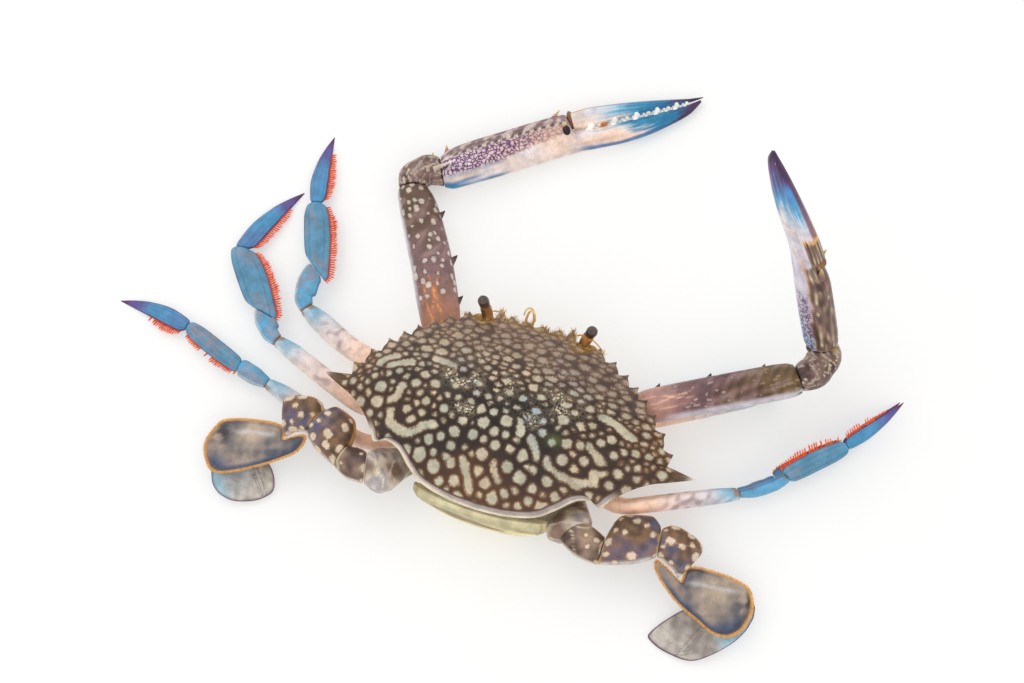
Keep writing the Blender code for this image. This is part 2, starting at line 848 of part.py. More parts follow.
def make_thorax():
    front_at_keel = MOUTH_Y[0] + (MOUTH_Y[1] - MOUTH_Y[0]) * KEEL_HEIGHT / THORAX_TOP
    levels = (
        (0.0, MOUTH_Y[0], KEEL_INSET),
        (KEEL_HEIGHT, front_at_keel, 0.0),
        (THORAX_TOP, MOUTH_Y[1], 0.0),
    )
    rings = []
    for z, front, inset in levels:
        rings.append([np.array([x, y, z]) for x, y in thorax_outline(front, inset)])
    thorax = add_mesh("thorax", *skin_rings(rings), BELLY)
    combine(thorax, [abdomen_skin(grow=GAP + 0.05)], operation="DIFFERENCE")
    add_mesh("abdomen", *abdomen_skin(), BELLY)


def make_mouth():
    """The two plates that close over the mouth, on the thorax's front slope."""
    rise = unit((0.0, MOUTH_Y[1] - MOUTH_Y[0], THORAX_TOP))
    outwards = unit((0.0, -THORAX_TOP, MOUTH_Y[1] - MOUTH_Y[0]))
    for side, sign in SIDES.items():
        foot = np.array([sign * 6.0, MOUTH_Y[0], 0.0]) + outwards * (GAP + 1.2)
        path = [foot + rise * 5.0, foot + rise * 18.6]
        inner = towards(np.array([-sign, 0.0, 0.0]))
        rings = limb_rings(path, MAXILLIPED, (rise, rise), inner)
        add_mesh(f"maxilliped_{side}", *skin_rings(rings), BELLY)


def make_eyes():
    for side, sign in SIDES.items():
        root, neck, crown = (np.array([sign * x, y, z]) for x, y, z in (EYE_ROOT, EYE_NECK, EYE_CROWN))
        lean = unit(neck - root)
        wide = towards(np.array([sign, 0.0, 0.0]))
        rings = limb_rings([root, neck], EYESTALK, (lean, lean), wide)
        add_mesh(f"eyestalk_{side}", *skin_rings(rings), FEELER)
        rings = limb_rings([neck, crown], CORNEA, (lean, lean), wide)
        add_mesh(f"eye_{side}", *skin_rings(rings), EYE)


def denser(table, count):
    """The same table at even shares, its sizes between the given ones."""
    shares, *columns = zip(*table)
    rows = []
    for k in range(count + 1):
        rows.append((k / count, *(np.interp(k / count, shares, column) for column in columns)))
    return rows


def make_feelers():
    """Antennae and the small hinged antennules below the front margin."""
    for side, sign in SIDES.items():
        outer = [(sign * x, y, z) for x, y, z in ANTENNA_PATH]
        for name, table, plan, rounding in (
            ("antenna", ANTENNA, outer, 3.0),
            ("antennule", ANTENNULE, ANTENNULE_PATH[side], 1.6),
        ):
            path = [np.array(point) for point in plan]
            leans = (path_at(path, 0, rounding)[1], path_at(path, 1, rounding)[1])
            wide = towards(np.array(FEELER_WIDE))
            rows = denser(table, FEELER_RINGS)
            rings = limb_rings(path, rows, leans, wide, rounding, corners=6)
            add_mesh(f"{name}_{side}", *skin_rings(rings), FEELER)


def hip_of(limb, side):
    """The middle and the outward way of the thorax face that carries a limb."""
    place = ("claw", "leg1", "leg2", "leg3", "swim").index(limb)
    a = np.array(THORAX_SIDE[place])
    b = np.array(THORAX_SIDE[place + 1])
    x, y = (a + b) / 2
    out = unit((b[1] - a[1], a[0] - b[0]))
    sign = SIDES[side]
    z = RIGHT_LEG3_HIP_Z if (limb, side) == ("leg3", "right") else HIP_Z[limb]
    outward = np.array([sign * out[0], out[1], 0.0])
    return np.array([sign * x, y, z]) + outward * GAP / 2, outward


def hand_point(wrist, along, thumb, flex, distance, across):
    """A point of the hand's plane: along its axis, then to the movable finger's side."""
    beyond = max(0.0, distance - FINGER_HINGE)
    bend = np.cross(along, thumb) * flex[0] + thumb * flex[1]
    return wrist + along * distance + thumb * across + bend * beyond


def make_hand(side, wrist, along, arriving):
    claw = CLAWS[side]
    thumb_side = towards(np.array(claw["thumb_side"]))(along)
    start_lean = mitre(arriving, along)
    pieces = {"palm": PALM, "finger": FINGER}
    for name, table in pieces.items():
        rings = []
        for distance, upper, lower, thick in table:
            lean = unit(along + (start_lean - along) * max(0.0, 1 - distance / 20))
            centre = hand_point(wrist, along, thumb_side, claw["flex"], distance, 0.0)
            if distance == 0:
                centre = centre + along * (GAP / 2) / (along @ start_lean)
            if distance > SLIM_FROM and upper > 2:
                upper *= claw["slim"]
            half = (upper + lower) / 2
            shift = (upper - lower) / 2
            ring = slab_ring(centre, along, thumb_side, lean, half, shift, thick, 12)
            rings.append([np.array([p[0], p[1], max(p[2], 0.0)]) for p in ring])
        thing = add_mesh(f"claw_{name}_{side}", *skin_rings(rings), CLAW)
        extras = finger_teeth(name, wrist, along, thumb_side, claw["flex"])
        if name == "palm":
            extras += palm_spines(wrist, along, thumb_side, claw)
        combine(thing, extras)


def finger_teeth(name, wrist, along, thumb_side, flex):
    """Teeth along the closing edges, those of one finger between those of the other."""
    upper_edge = name == "palm"
    table = PALM if upper_edge else FINGER
    stations = [row[0] for row in table]
    edges = [row[1] if upper_edge else -row[2] for row in table]
    teeth = []
    first, last = FINGER_HINGE + 6.0, HAND_LENGTH - 7.0
    for k in range(HAND_TEETH):
        share = (k + (0.5 if upper_edge else 0.0)) / HAND_TEETH
        distance = first + (last - first) * share
        edge = np.interp(distance, stations, edges)
        size = 0.7 - 0.2 * share
        way = 1 if upper_edge else -1
        base = hand_point(wrist, along, thumb_side, flex, distance, edge - way * 0.9)
        tip = hand_point(wrist, along, thumb_side, flex, distance + 0.3, edge + way * size)
        teeth.append(spike(base, tip, 2 * size))
    return teeth


def palm_spines(wrist, along, thumb_side, claw):
    """Two spines over the finger's hinge and one by the wrist."""
    face = np.cross(along, thumb_side)
    spines = []
    for start, end in (
        ((44.8, 7.2, 0.0), (51.4, 12.6 * claw["slim"], 0.0)),
        ((49.0, 3.2, 2.0), (52.6, 4.0, 6.4)),
        ((3.4, 5.4, 0.0), (4.2, 10.6, 0.6)),
    ):
        root, tip = (
            hand_point(wrist, along, thumb_side, claw["flex"], distance, across) + face * out
            for distance, across, out in (start, end)
        )
        spines.append(spike(root, tip, 2.0))
    return spines


def make_claw(side):
    claw = CLAWS[side]
    hip, outward = hip_of("claw", side)
    shoulder = step_from(hip, side, claw["base"])
    elbow_joint = step_from(shoulder, side, claw["merus"])
    wrist = step_from(elbow_joint, side, claw["carpus"])
    along = {name: direction(side, *claw[name][1:]) for name in ("base", "merus", "palm")}
    wide = rolled(side, 0)
    lean = mitre(along["base"], along["merus"])
    rings = limb_rings([hip, shoulder], CLAW_BASE, (outward, lean), wide)
    add_mesh(f"claw_base_{side}", *skin_rings(rings), CLAW)
    corner = elbow(elbow_joint, wrist, along["merus"], along["palm"])
    first_lean = mitre(along["merus"], unit(corner - elbow_joint))
    second_lean = mitre(along["palm"], unit(wrist - corner))
    rings = limb_rings([shoulder, elbow_joint], CLAW_MERUS[side], (lean, first_lean), wide)
    merus = add_mesh(f"claw_merus_{side}", *skin_rings(rings), CLAW)
    combine(merus, merus_spines(side, shoulder, elbow_joint, wide(along["merus"])))
    chord = np.linalg.norm(corner - elbow_joint) + np.linalg.norm(wrist - corner)
    rings = limb_rings(
        [elbow_joint, corner, wrist], CLAW_CARPUS, (first_lean, second_lean),
        inside_of_bend(along["merus"], along["palm"]), chord / 2.2, 12,
    )
    carpus = add_mesh(f"claw_carpus_{side}", *skin_rings(rings), CLAW)
    thumb_side = towards(np.array(claw["thumb_side"]))(along["palm"])
    outer = unit(2 * corner - elbow_joint - wrist)
    root = wrist - along["palm"] * 4.4 + thumb_side * 2.6
    spines = [spike(root, wrist + thumb_side * 9.4 - along["palm"] * 1.6, 2.2)]
    root, tip = (
        wrist + outer * outwards + along["palm"] * onwards + UP * upwards
        for outwards, onwards, upwards in claw["carpus_spine"]
    )
    spines.append(spike(root, tip, 1.5))
    combine(carpus, spines, solver="MANIFOLD")
    make_hand(side, wrist, along["palm"], unit(wrist - corner))


def inside_of_bend(arriving, leaving):
    """Keeps the inner edge of a bent piece on the inside of its bend."""
    turn = unit(np.cross(arriving, leaving))

    def wide_of(along):
        return unit(np.cross(turn, along))

    return wide_of


def merus_spines(side, start, end, inner):
    """Three hooked spines on the inner margin."""
    spines = []
    for share, reach in MERUS_SPINES[side]:
        base = start + (end - start) * share + inner * (reach - 4.4)
        tip = start + (end - start) * (share + 0.045) + inner * reach
        spines.append(spike(base, tip, 2.1))
    return spines


def fringe(path, table, wide_of, leg, scale, rng, stretch, longest):
    """Tufts of setae along one edge of a piece."""
    first, last = stretch
    total = np.linalg.norm(path[-1] - path[0])
    count = int(total * (last - first) / TUFT_SPACING)
    stations = [row[0] for row in table]
    edges = [row[1 if leg["fringe"] > 0 else 2] for row in table]
    tufts = []
    for k in range(count):
        share = first + (last - first) * (k + 0.5) / count
        centre, along = path_at(path, share, 0.0)
        wide = wide_of(along) * leg["fringe"]
        edge = np.interp(share, stations, edges) * scale
        swell = sin(pi * (0.14 + 0.76 * (k + 0.5) / count)) ** 0.6
        length = longest * swell * rng.uniform(0.88, 1.0)
        lying = leg["lie"]
        way = unit(wide * (1 - 0.75 * lying) + along * (0.25 + lying))
        base = centre + wide * (edge - 1.4)
        tip = centre + wide * edge + way * length
        tufts.append(spike(base, tip, TUFT_WIDTH / 2, along, TUFT_THICKNESS / TUFT_WIDTH, 4))
    return tufts


def make_leg(limb, side):
    leg = LEGS[limb, side]
    fringed = leg["fringe"]
    rng = random.Random(FRINGE_SEED)
    hip, outward = hip_of(limb, side)
    bend = step_from(hip, side, leg["merus"][0])
    knee = step_from(bend, side, leg["merus"][1])
    ankle = step_from(knee, side, leg["carpus"])
    toe = step_from(ankle, side, leg["propodus"])
    tip = step_from(toe, side, leg["dactyl"])
    steps = (leg["merus"][1], leg["propodus"], leg["dactyl"])
    along = [direction(side, *step[1:]) for step in steps]
    corner = elbow(knee, ankle, along[0], along[1])
    turned = rolled(side, leg["rolls"][2])(along[1]) * fringed * leg["skew"]
    leans = [outward, mitre(along[0], unit(corner - knee))]
    leans += [unit(mitre(unit(ankle - corner), along[1]) + turned)]
    leans += [mitre(along[1], along[2]), along[2]]
    pieces = (
        ("merus", [hip, bend, knee], LEG_MERUS, 8.0),
        ("carpus", [knee, corner, ankle], LEG_CARPUS, 7.0),
        ("propodus", [ankle, toe], LEG_PROPODUS, 0.0),
        ("dactyl", [toe, tip], LEG_DACTYL, 0.0),
    )
    for number, (name, path, table, rounding) in enumerate(pieces):
        if fringed < 0:
            table = [(share, behind, ahead, thick) for share, ahead, behind, thick in table]
        kept = leg["behind"][number]
        table = [(share, ahead, behind * kept, thick) for share, ahead, behind, thick in table]
        scale = leg["scales"][number]
        wide = rolled(side, leg["rolls"][number])
        rings = limb_rings(path, table, leans[number : number + 2], wide, rounding, 8, scale)
        thing = add_mesh(f"{limb}_{name}_{side}", *skin_rings(rings), LEG)
        if name == "propodus":
            stretch = (0.0, 0.93)
            combine(thing, fringe(path, table, wide, leg, scale, rng, stretch, TUFT_LENGTH))
        if name == "dactyl":
            stretch = (0.04, 0.74)
            shorter = TUFT_LENGTH * 0.85
            combine(thing, fringe(path, table, wide, leg, scale, rng, stretch, shorter))


def paddle_skin(hinge, along, ahead, outline, middle):
    """A thin plate with a rounded edge, over an outline in its own plane."""
    face = np.cross(along, ahead)
    middle = np.array(middle)
    rings = []
    for share, height in PADDLE_PROFILE:
        ring = []
        for a, c in outline:
            a, c = middle + (np.array([a, c]) - middle) * share
            point = hinge + along * a + ahead * c + face * height * PADDLE_HALF_THICKNESS
            ring.append(np.array([point[0], point[1], max(point[2], 0.0)]))
        rings.append(ring)
    points, faces = skin_rings(rings)
    centre = hinge + along * middle[0] + ahead * middle[1]
    points[-2] = centre + face * PADDLE_HALF_THICKNESS
    points[-1] = centre - face * PADDLE_HALF_THICKNESS
    return points, faces


def make_swimming_leg(side):
    *steps, dactyl_heading = SWIMMING_LEGS[side]
    hip, outward = hip_of("swim", side)
    joints = [hip]
    for step in steps:
        joints.append(step_from(joints[-1], side, step))
    along = [direction(side, *step[1:]) for step in steps]
    corner = elbow(joints[3], joints[4], along[2], along[4])
    wide = rolled(side, 0)
    leans = [outward, mitre(along[0], along[1]), mitre(along[1], along[2])]
    leans += [mitre(along[2], unit(corner - joints[3])), along[3]]
    pieces = (
        ("coxa", [joints[0], joints[1]], SWIM_COXA),
        ("ischium", [joints[1], joints[2]], SWIM_ISCHIUM),
        ("merus", [joints[2], joints[3]], SWIM_MERUS),
        ("carpus", [joints[3], corner, joints[4]], SWIM_CARPUS),
    )
    for number, (name, path, table) in enumerate(pieces):
        rings = limb_rings(path, table, leans[number : number + 2], wide, 6.0, 12)
        add_mesh(f"swim_{name}_{side}", *skin_rings(rings), PADDLE)
    ahead = wide(along[4])
    blade = paddle_skin(joints[4], along[4], ahead, SWIM_PROPODUS[side], SWIM_PROPODUS_MIDDLE)
    add_mesh(f"swim_propodus_{side}", *blade, PADDLE)
    hinge = joints[5] - UP * PADDLE_DROP[side]
    way = direction(side, dactyl_heading, PADDLE_DACTYL_PITCH)
    blade = paddle_skin(hinge, way, wide(way), SWIM_DACTYL[side], SWIM_DACTYL_MIDDLE)
    add_mesh(f"swim_dactyl_{side}", *blade, PADDLE)


def main():
    clear_scene()
    make_carapace()
    make_thorax()
    make_mouth()
    make_eyes()
    make_feelers()
    for side in SIDES:
        make_claw(side)
        for limb in ("leg1", "leg2", "leg3"):
            make_leg(limb, side)
        make_swimming_leg(side)


main()
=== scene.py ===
"""Blue swimming crab: the looks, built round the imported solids.

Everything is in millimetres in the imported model's frame, and MM turns it into metres. Each
solid is replaced by a finer shell of the same form, with relief, spines, teeth, setae and
painted markings. A shell carries its paint as point attributes: tint is the ground colour,
mark the colour of its spots, spot the distance in millimetres to the nearest spot's edge
(negative inside), net how strongly a network of veins shows, and grain how granular it is.
"""

from math import cos, pi, radians, sin

import bmesh
import bpy
import numpy as np
from mathutils import Matrix


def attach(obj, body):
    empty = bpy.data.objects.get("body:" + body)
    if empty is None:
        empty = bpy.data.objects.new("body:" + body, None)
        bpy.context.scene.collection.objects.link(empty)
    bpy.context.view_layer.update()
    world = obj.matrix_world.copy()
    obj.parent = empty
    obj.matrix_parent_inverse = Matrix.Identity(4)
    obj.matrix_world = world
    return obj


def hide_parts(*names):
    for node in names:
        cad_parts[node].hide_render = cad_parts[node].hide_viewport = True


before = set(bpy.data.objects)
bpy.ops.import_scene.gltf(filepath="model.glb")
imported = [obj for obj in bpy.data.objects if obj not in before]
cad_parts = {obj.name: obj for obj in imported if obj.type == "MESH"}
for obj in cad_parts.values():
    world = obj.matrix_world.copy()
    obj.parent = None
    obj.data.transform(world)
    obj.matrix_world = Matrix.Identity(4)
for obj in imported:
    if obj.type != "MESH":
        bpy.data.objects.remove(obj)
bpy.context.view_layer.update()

MM = 0.001
GAP = 0.3
SIDES = {"left": 1, "right": -1}
UP = np.array([0.0, 0.0, 1.0])
FAR = 99.0  # a distance to the nearest spot where there is none
SHARP_ANGLE = 55.0  # edges that turn by more than this stay sharp

# Carapace. The margin's rows are x, y, z and how far inside it the rounded edge begins
CENTRE = np.array([0.0, -3.0])
APEX = 38.5
UNDERSIDE = 11.15
RIM_UP = 0.8
RIM_DOWN = 1.3
FRONT_MARGIN = (
    (0.0, -37.4, 27.0, 0.8), (3.0, -38.8, 26.8, 2.0), (6.2, -36.9, 27.0, 0.8),
    (9.6, -39.4, 26.6, 2.6), (12.0, -36.6, 26.8, 0.8), (14.3, -41.0, 26.4, 4.8),
    (16.4, -35.7, 26.6, 0.8), (20.6, -34.2, 26.5, 0.8), (24.2, -35.2, 26.0, 0.8),
)
ARC_CENTRE = np.array([-5.8, 40.9])
ARC_RADIUS = 84.5
TOOTH_ANGLES = (22.5, 27.8, 32.4, 36.5, 40.6, 44.9, 50.3, 56.0)
TOOTH_LENGTH = 3.0
# From one tooth to the next: a share of the way, how far short of the teeth's arc, in tooth
# lengths, and where the rounded edge begins
TOOTH_PROFILE = (
    (0.14, 0.42, 1.2), (0.42, 0.66, 0.8), (0.62, 1.0, 0.8), (0.82, 0.6, 1.6), (1.0, 0.0, 3.4),
)
MARGIN_FRONT_Z = 25.5
MARGIN_SIDE_Z = 21.6
LATERAL_SPINE = (
    (63.3, -1.6, 21.2, 0.8), (75.0, 0.0, 20.0, 9.4), (66.4, 3.9, 21.4, 0.8),
)
REAR_MARGIN = (
    (59.3, 7.2, 22.8, 0.8), (52.6, 12.4, 24.6, 0.8), (47.9, 17.8, 26.0, 0.8),
    (45.0, 21.8, 26.8, 1.4), (41.2, 20.1, 26.8, 0.8), (35.4, 21.8, 26.2, 0.8),
    (29.2, 27.3, 26.0, 0.8), (22.4, 31.8, 25.0, 0.8), (11.5, 34.4, 24.2, 0.8),
    (0.0, 35.2, 24.0, 0.8),
)
MARGIN_STEP = 0.55
TOP_ROWS = 130

# Thorax and abdomen. Each of the abdomen's rows is y, z, half a width and a thickness
THORAX_TOP = 10.85
THORAX_CENTRE = np.array([0.0, 6.0])
THORAX_SIDE = (
    (20.0, -25.8), (31.0, -13.2), (35.0, -3.5), (36.0, 6.0), (35.0, 15.5), (29.0, 25.2),
    (21.0, 33.8), (0.0, 34.6),
)
MOUTH_HALF_WIDTH = 12.5
MOUTH_Y = (-15.0, -31.0)
ABDOMEN = (
    (34.2, 19.5, 26.8, 3.4), (36.0, 17.2, 27.0, 3.6), (37.0, 13.4, 25.4, 3.4),
    (37.0, 8.4, 20.5, 3.2), (35.6, 3.9, 15.5, 2.4), (31.6, 1.1, 13.0, 1.9), (25.0, 0.85, 12.0, 1.7),
    (16.0, 0.85, 9.5, 1.7), (6.0, 0.85, 6.2, 1.7), (-6.0, 0.85, 3.8, 1.7), (-13.0, 0.85, 2.0, 1.7),
)
ABDOMEN_CURVE = 0.0042
ABDOMEN_SEAMS = np.array([6.6, 11.8, 17.5, 26.0, 38.0, 53.0])

# Limb tables: share of the length, half widths ahead and behind, half thickness. The hand's
# have a distance from the wrist instead of the share
CLAW_BASE = ((0, 5.6, 5.6, 3.9), (0.3, 6.0, 6.0, 4.2), (0.9, 6.2, 6.2, 4.4), (1, 5.8, 5.8, 4.2))
CLAW_MERUS = {
    "left": (
        (0, 5.8, 5.8, 4.2), (0.07, 7.4, 8.2, 4.7), (0.25, 8.4, 8.2, 5.4), (0.5, 9.0, 7.5, 5.7),
        (0.74, 8.5, 7.4, 5.7), (0.86, 7.8, 7.2, 5.6), (0.95, 6.7, 6.8, 5.2), (1, 5.4, 5.6, 4.6),
    ),
    "right": (
        (0, 5.8, 5.8, 4.2), (0.07, 6.6, 6.6, 4.7), (0.25, 6.9, 6.8, 5.4), (0.5, 7.0, 6.9, 5.7),
        (0.86, 6.9, 6.9, 5.6), (0.95, 6.5, 6.6, 5.2), (1, 5.4, 5.6, 4.6),
    ),
}
MERUS_SPINES = {
    "left": ((0.17, 10.2), (0.44, 11.5), (0.75, 10.4)),
    "right": ((0.12, 8.2), (0.44, 8.4), (0.77, 8.0)),
}
CLAW_CARPUS = (
    (0, 5.4, 5.6, 4.6), (0.16, 5.6, 6.4, 5.8), (0.5, 4.6, 7.5, 6.6), (0.84, 5.2, 6.9, 6.0),
    (1, 6.0, 5.6, 5.0),
)
HAND_LENGTH = 106.0
FINGER_HINGE = 55.0
PALM = (
    (0, 5.8, 6.6, 5.0), (4, 7.8, 8.2, 5.4), (16, 9.0, 8.2, 5.6), (30, 9.4, 7.8, 5.5),
    (42, 9.8, 7.3, 5.0), (52.5, 9.6, 7.0, 4.4), (54.5, 1.3, 7.0, 3.8), (62, 0.5, 7.6, 3.3),
    (72, 0.3, 8.2, 3.1), (82, 0.0, 7.7, 2.7), (92, -0.2, 6.0, 2.1), (100, 0.0, 3.9, 1.4),
    (106, 0.8, 0.2, 0.3),
)
FINGER = (
    (54.8, 9.6, -2.2, 3.2), (60, 9.8, -1.9, 3.2), (72, 8.5, -1.7, 2.9), (84, 6.4, -1.4, 2.4),
    (95, 4.0, -1.2, 1.7), (102, 2.4, -1.1, 1.0), (107.2, 1.7, -1.4, 0.3),
)
SLIM_FROM = 45.0
HAND_STEP = 0.6
HAND_CORNERS = 48
LEG_MERUS = (
    (0, 3.4, 3.4, 3.1), (0.1, 3.8, 3.8, 2.9), (0.3, 3.7, 3.7, 2.8), (0.6, 4.3, 4.3, 2.8),
    (0.86, 4.2, 4.2, 2.6), (0.96, 3.3, 3.3, 2.2), (1, 2.7, 2.7, 1.9),
)
LEG_CARPUS = (
    (0, 2.7, 2.7, 1.9), (0.14, 3.3, 3.3, 2.2), (0.5, 4.8, 4.2, 2.5), (0.86, 4.9, 3.9, 2.2),
    (1, 3.8, 2.8, 1.8),
)
LEG_PROPODUS = (
    (0, 4.4, 2.6, 1.7), (0.08, 5.8, 3.8, 2.0), (0.4, 6.2, 4.6, 2.2), (0.76, 5.4, 5.0, 2.0),
    (0.94, 3.9, 4.1, 1.6), (1, 2.3, 2.6, 1.3),
)
LEG_DACTYL = (
    (0, 2.2, 2.4, 1.3), (0.08, 3.4, 3.3, 1.5), (0.35, 2.6, 4.8, 1.5), (0.6, 1.6, 4.1, 1.2),
    (0.82, 0.8, 2.3, 0.8), (1, 0.15, 0.15, 0.15),
)
SWIM_COXA = ((0, 4.4, 4.4, 3.6), (0.3, 5.2, 7.0, 4.6), (0.75, 6.0, 11.6, 6.0), (1, 4.8, 7.0, 4.8))
SWIM_ISCHIUM = ((0, 4.8, 7.0, 4.6), (0.4, 5.2, 7.6, 4.9), (1, 5.0, 5.2, 4.2))
SWIM_MERUS = (
    (0, 5.4, 4.8, 4.2), (0.16, 10.4, 5.4, 5.0), (0.5, 12.8, 5.8, 5.3), (0.84, 11.6, 5.0, 4.8),
    (1, 7.0, 4.0, 3.8),
)
SWIM_CARPUS = (
    (0, 6.4, 4.0, 3.8), (0.2, 9.4, 3.8, 4.4), (0.55, 11.2, 3.4, 4.5), (0.85, 10.4, 3.1, 3.6),
    (1, 8.4, 3.1, 2.2),
)
# Paddle outlines in their own plane: onward from the hinge, and ahead of it
SWIM_PROPODUS = {
    "left": (
        (0.7, -4.2), (-3.3, -3.9), (-7.8, -3.8), (-8.1, -5.7), (-4.4, -9.3), (1.1, -10.9),
        (6.6, -12.1), (12.4, -12.9), (20.3, -13.7), (27.4, -13.6), (31.1, -11.9), (32.9, -8.3),
        (33.6, -4.1), (33.0, -0.8), (30.4, 2.6), (27.4, 5.4), (24.8, 6.3), (19.3, 6.0), (12.2, 4.7),
        (5.2, 2.8), (0.7, 0.3),
    ),
    "right": (
        (0.7, -3.9), (-4.1, -2.7), (-7.8, -1.5), (-10.7, -1.0), (-10.8, -2.4), (-7.6, -5.4),
        (-2.4, -8.5), (3.6, -11.2), (12.5, -13.4), (18.4, -14.9), (22.9, -14.4), (26.0, -12.3),
        (27.9, -8.7), (28.4, -3.3), (27.5, 0.4), (25.7, 3.3), (22.8, 5.4), (15.7, 5.7), (8.4, 4.6),
        (3.9, 3.6), (0.7, 1.5),
    ),
}
SWIM_PROPODUS_MIDDLE = (8.0, -7.5)
SWIM_DACTYL_MIDDLE = (14.0, 4.0)
SWIM_DACTYL = {
    "left": (
        (-4.6, 2.0), (-3.6, 6.4), (1.0, 9.6), (4.6, 12.0), (8.5, 15.4), (12.2, 16.7), (15.1, 16.6),
        (18.7, 15.6), (22.3, 13.1), (26.3, 8.8), (28.4, 4.2), (28.3, 1.4), (26.3, -1.2),
        (23.3, -3.4), (19.0, -4.9), (12.0, -5.4), (2.0, -3.6),
    ),
    "right": (
        (-1.6, -0.6), (-0.4, 4.0), (1.8, 6.2), (4.5, 8.2), (9.9, 10.4), (17.5, 11.7), (25.1, 11.7),
        (30.0, 9.7), (35.3, 4.7), (38.0, 1.1), (39.7, -2.9), (38.1, -4.5), (35.1, -5.6),
        (31.1, -6.6), (23.5, -7.7), (15.9, -7.0), (6.0, -4.6),
    ),
}
PADDLE_HALF_THICKNESS = 1.25

# Limbs, from the hip outwards: each step is a length, a heading and a pitch. Of a claw,
# thumb_side is the side of its movable finger, flex bends its fingers towards the hand's face
# and the thumb's side, and slim narrows the palm beside the movable finger's hinge
CLAWS = {
    "left": {
        "base": (15.4, 49.0, 11.0),
        "merus": (62.6, 30.7, -0.9),
        "carpus": (13.2, -41.0, -8.3),
        "carpus_spine": ((0.0, -2.4, 5.4), (0.0, 6.4, 8.6)),
        "palm": (HAND_LENGTH, -57.5, -2.3),
        "thumb_side": (0.54, -0.84, 0.0),
        "flex": (0.0, 0.0),
        "slim": 1.0,
    },
    "right": {
        "base": (19.3, 84.4, 17.1),
        "merus": (62.6, 64.9, 8.2),
        "carpus": (15.4, 17.2, 7.5),
        "carpus_spine": ((0.0, -6.4, 0.0), (10.0, -3.3, -0.4)),
        "palm": (HAND_LENGTH, -29.0, 67.0),
        "thumb_side": (-0.80, 0.49, 0.35),
        "flex": (-0.08, -0.075),
        "slim": 0.7,
    },
}
# Of each leg's four pieces: their scales, how much of them lies behind the axis, and their
# rolls. Of its setae: the edge they stand on, how far they lie down and how many tufts are
# missing. Its skew turns the end face of the carpus towards the propodus's leading edge
LEG_COMMON = {
    "scales": (1.0, 1.0, 1.0, 1.0),
    "behind": (1.0, 1.0, 1.0, 1.0),
    "fringe": 1,
    "rolls": (0, 0, 0, 0),
    "lie": 0.0,
    "gaps": 0.0,
}
LEGS = {
    ("leg1", "left"): {
        "merus": ((38.0, 82.4, 1.2), (25.3, 64.4, 2.3)),
        "carpus": (16.9, 9.7, -3.4),
        "propodus": (28.8, 19.6, -6.0),
        "dactyl": (29.7, 7.2, -7.6),
        "skew": 1.15,
    },
    ("leg2", "left"): {
        "scales": (1.06, 1.06, 1.06, 1.06),
        "behind": (0.62, 0.66, 1.1, 1.0),
        "merus": ((22.7, 110.1, 2.0), (46.9, 68.4, 1.2)),
        "carpus": (14.7, 47.2, -3.9),
        "propodus": (29.5, 36.3, -5.8),
        "dactyl": (33.4, -27.1, -6.6),
        "skew": 1.15,
    },
    ("leg3", "left"): {
        "scales": (0.82, 0.8, 0.68, 0.96),
        "fringe": -1,
        "gaps": 0.3,
        "merus": ((18.7, 122.0, -3.7), (49.3, 75.4, 0.1)),
        "carpus": (13.8, 73.0, 0.0),
        "propodus": (28.5, 70.9, -3.4),
        "dactyl": (31.8, 84.7, -6.1),
        "skew": 0.2,
    },
    ("leg1", "right"): {
        "scales": (0.96, 0.96, 0.96, 0.96),
        "merus": ((19.6, 54.0, -6.0), (43.6, 61.2, 0.6)),
        "carpus": (9.6, -30.0, 0.0),
        "propodus": (28.8, -117.5, 0.0),
        "dactyl": (29.7, -119.0, -3.0),
        "rolls": (70, 66, 62, 62),
        "skew": 0.0,
        "lie": 0.9,
    },
    ("leg2", "right"): {
        "scales": (0.94, 0.86, 0.94, 0.94),
        "merus": ((17.9, 148.3, -9.0), (48.1, 66.6, 1.4)),
        "carpus": (15.5, 54.8, 0.0),
        "propodus": (28.4, 45.6, -1.6),
        "dactyl": (27.4, 33.5, -6.5),
        "rolls": (88, 75, 60, 60),
        "skew": 0.2,
        "lie": 0.9,
    },
    ("leg3", "right"): {
        "scales": (0.88, 0.74, 0.78, 0.8),
        "behind": (1.0, 0.76, 0.84, 0.74),
        "merus": ((15.7, 124.5, 25.6), (48.3, 66.9, 3.0)),
        "carpus": (18.7, 53.5, -4.6),
        "propodus": (25.4, 43.1, -5.6),
        "dactyl": (27.6, 33.3, -7.3),
        "rolls": (74, 64, 32, 25),
        "gaps": 0.2,
        "skew": 0.3,
    },
}
HIP_Z = {"claw": 6.4, "leg1": 6.2, "leg2": 6.2, "leg3": 6.2, "swim": 6.5}
RIGHT_LEG3_HIP_Z = 7.5
# The coxa's, ischium's, merus's, carpus's and propodus's steps, and the dactyl's heading
SWIMMING_LEGS = {
    "left": (
        (21.7, 123.3, 35.2), (10.3, 84.3, -8.4), (17.7, 61.1, -4.9), (12.7, 109.8, -16.0),
        (26.5, 111.0, -9.8),
        -114.0,
    ),
    "right": (
        (17.8, 150.0, 44.7), (11.4, 110.7, -7.6), (21.2, 67.2, -4.1), (13.6, 117.0, -15.0),
        (26.5, 98.8, -10.0),
        -127.4,
    ),
}
PADDLE_DROP = {"left": 2.75, "right": 1.9}
PADDLE_DACTYL_PITCH = -7.6

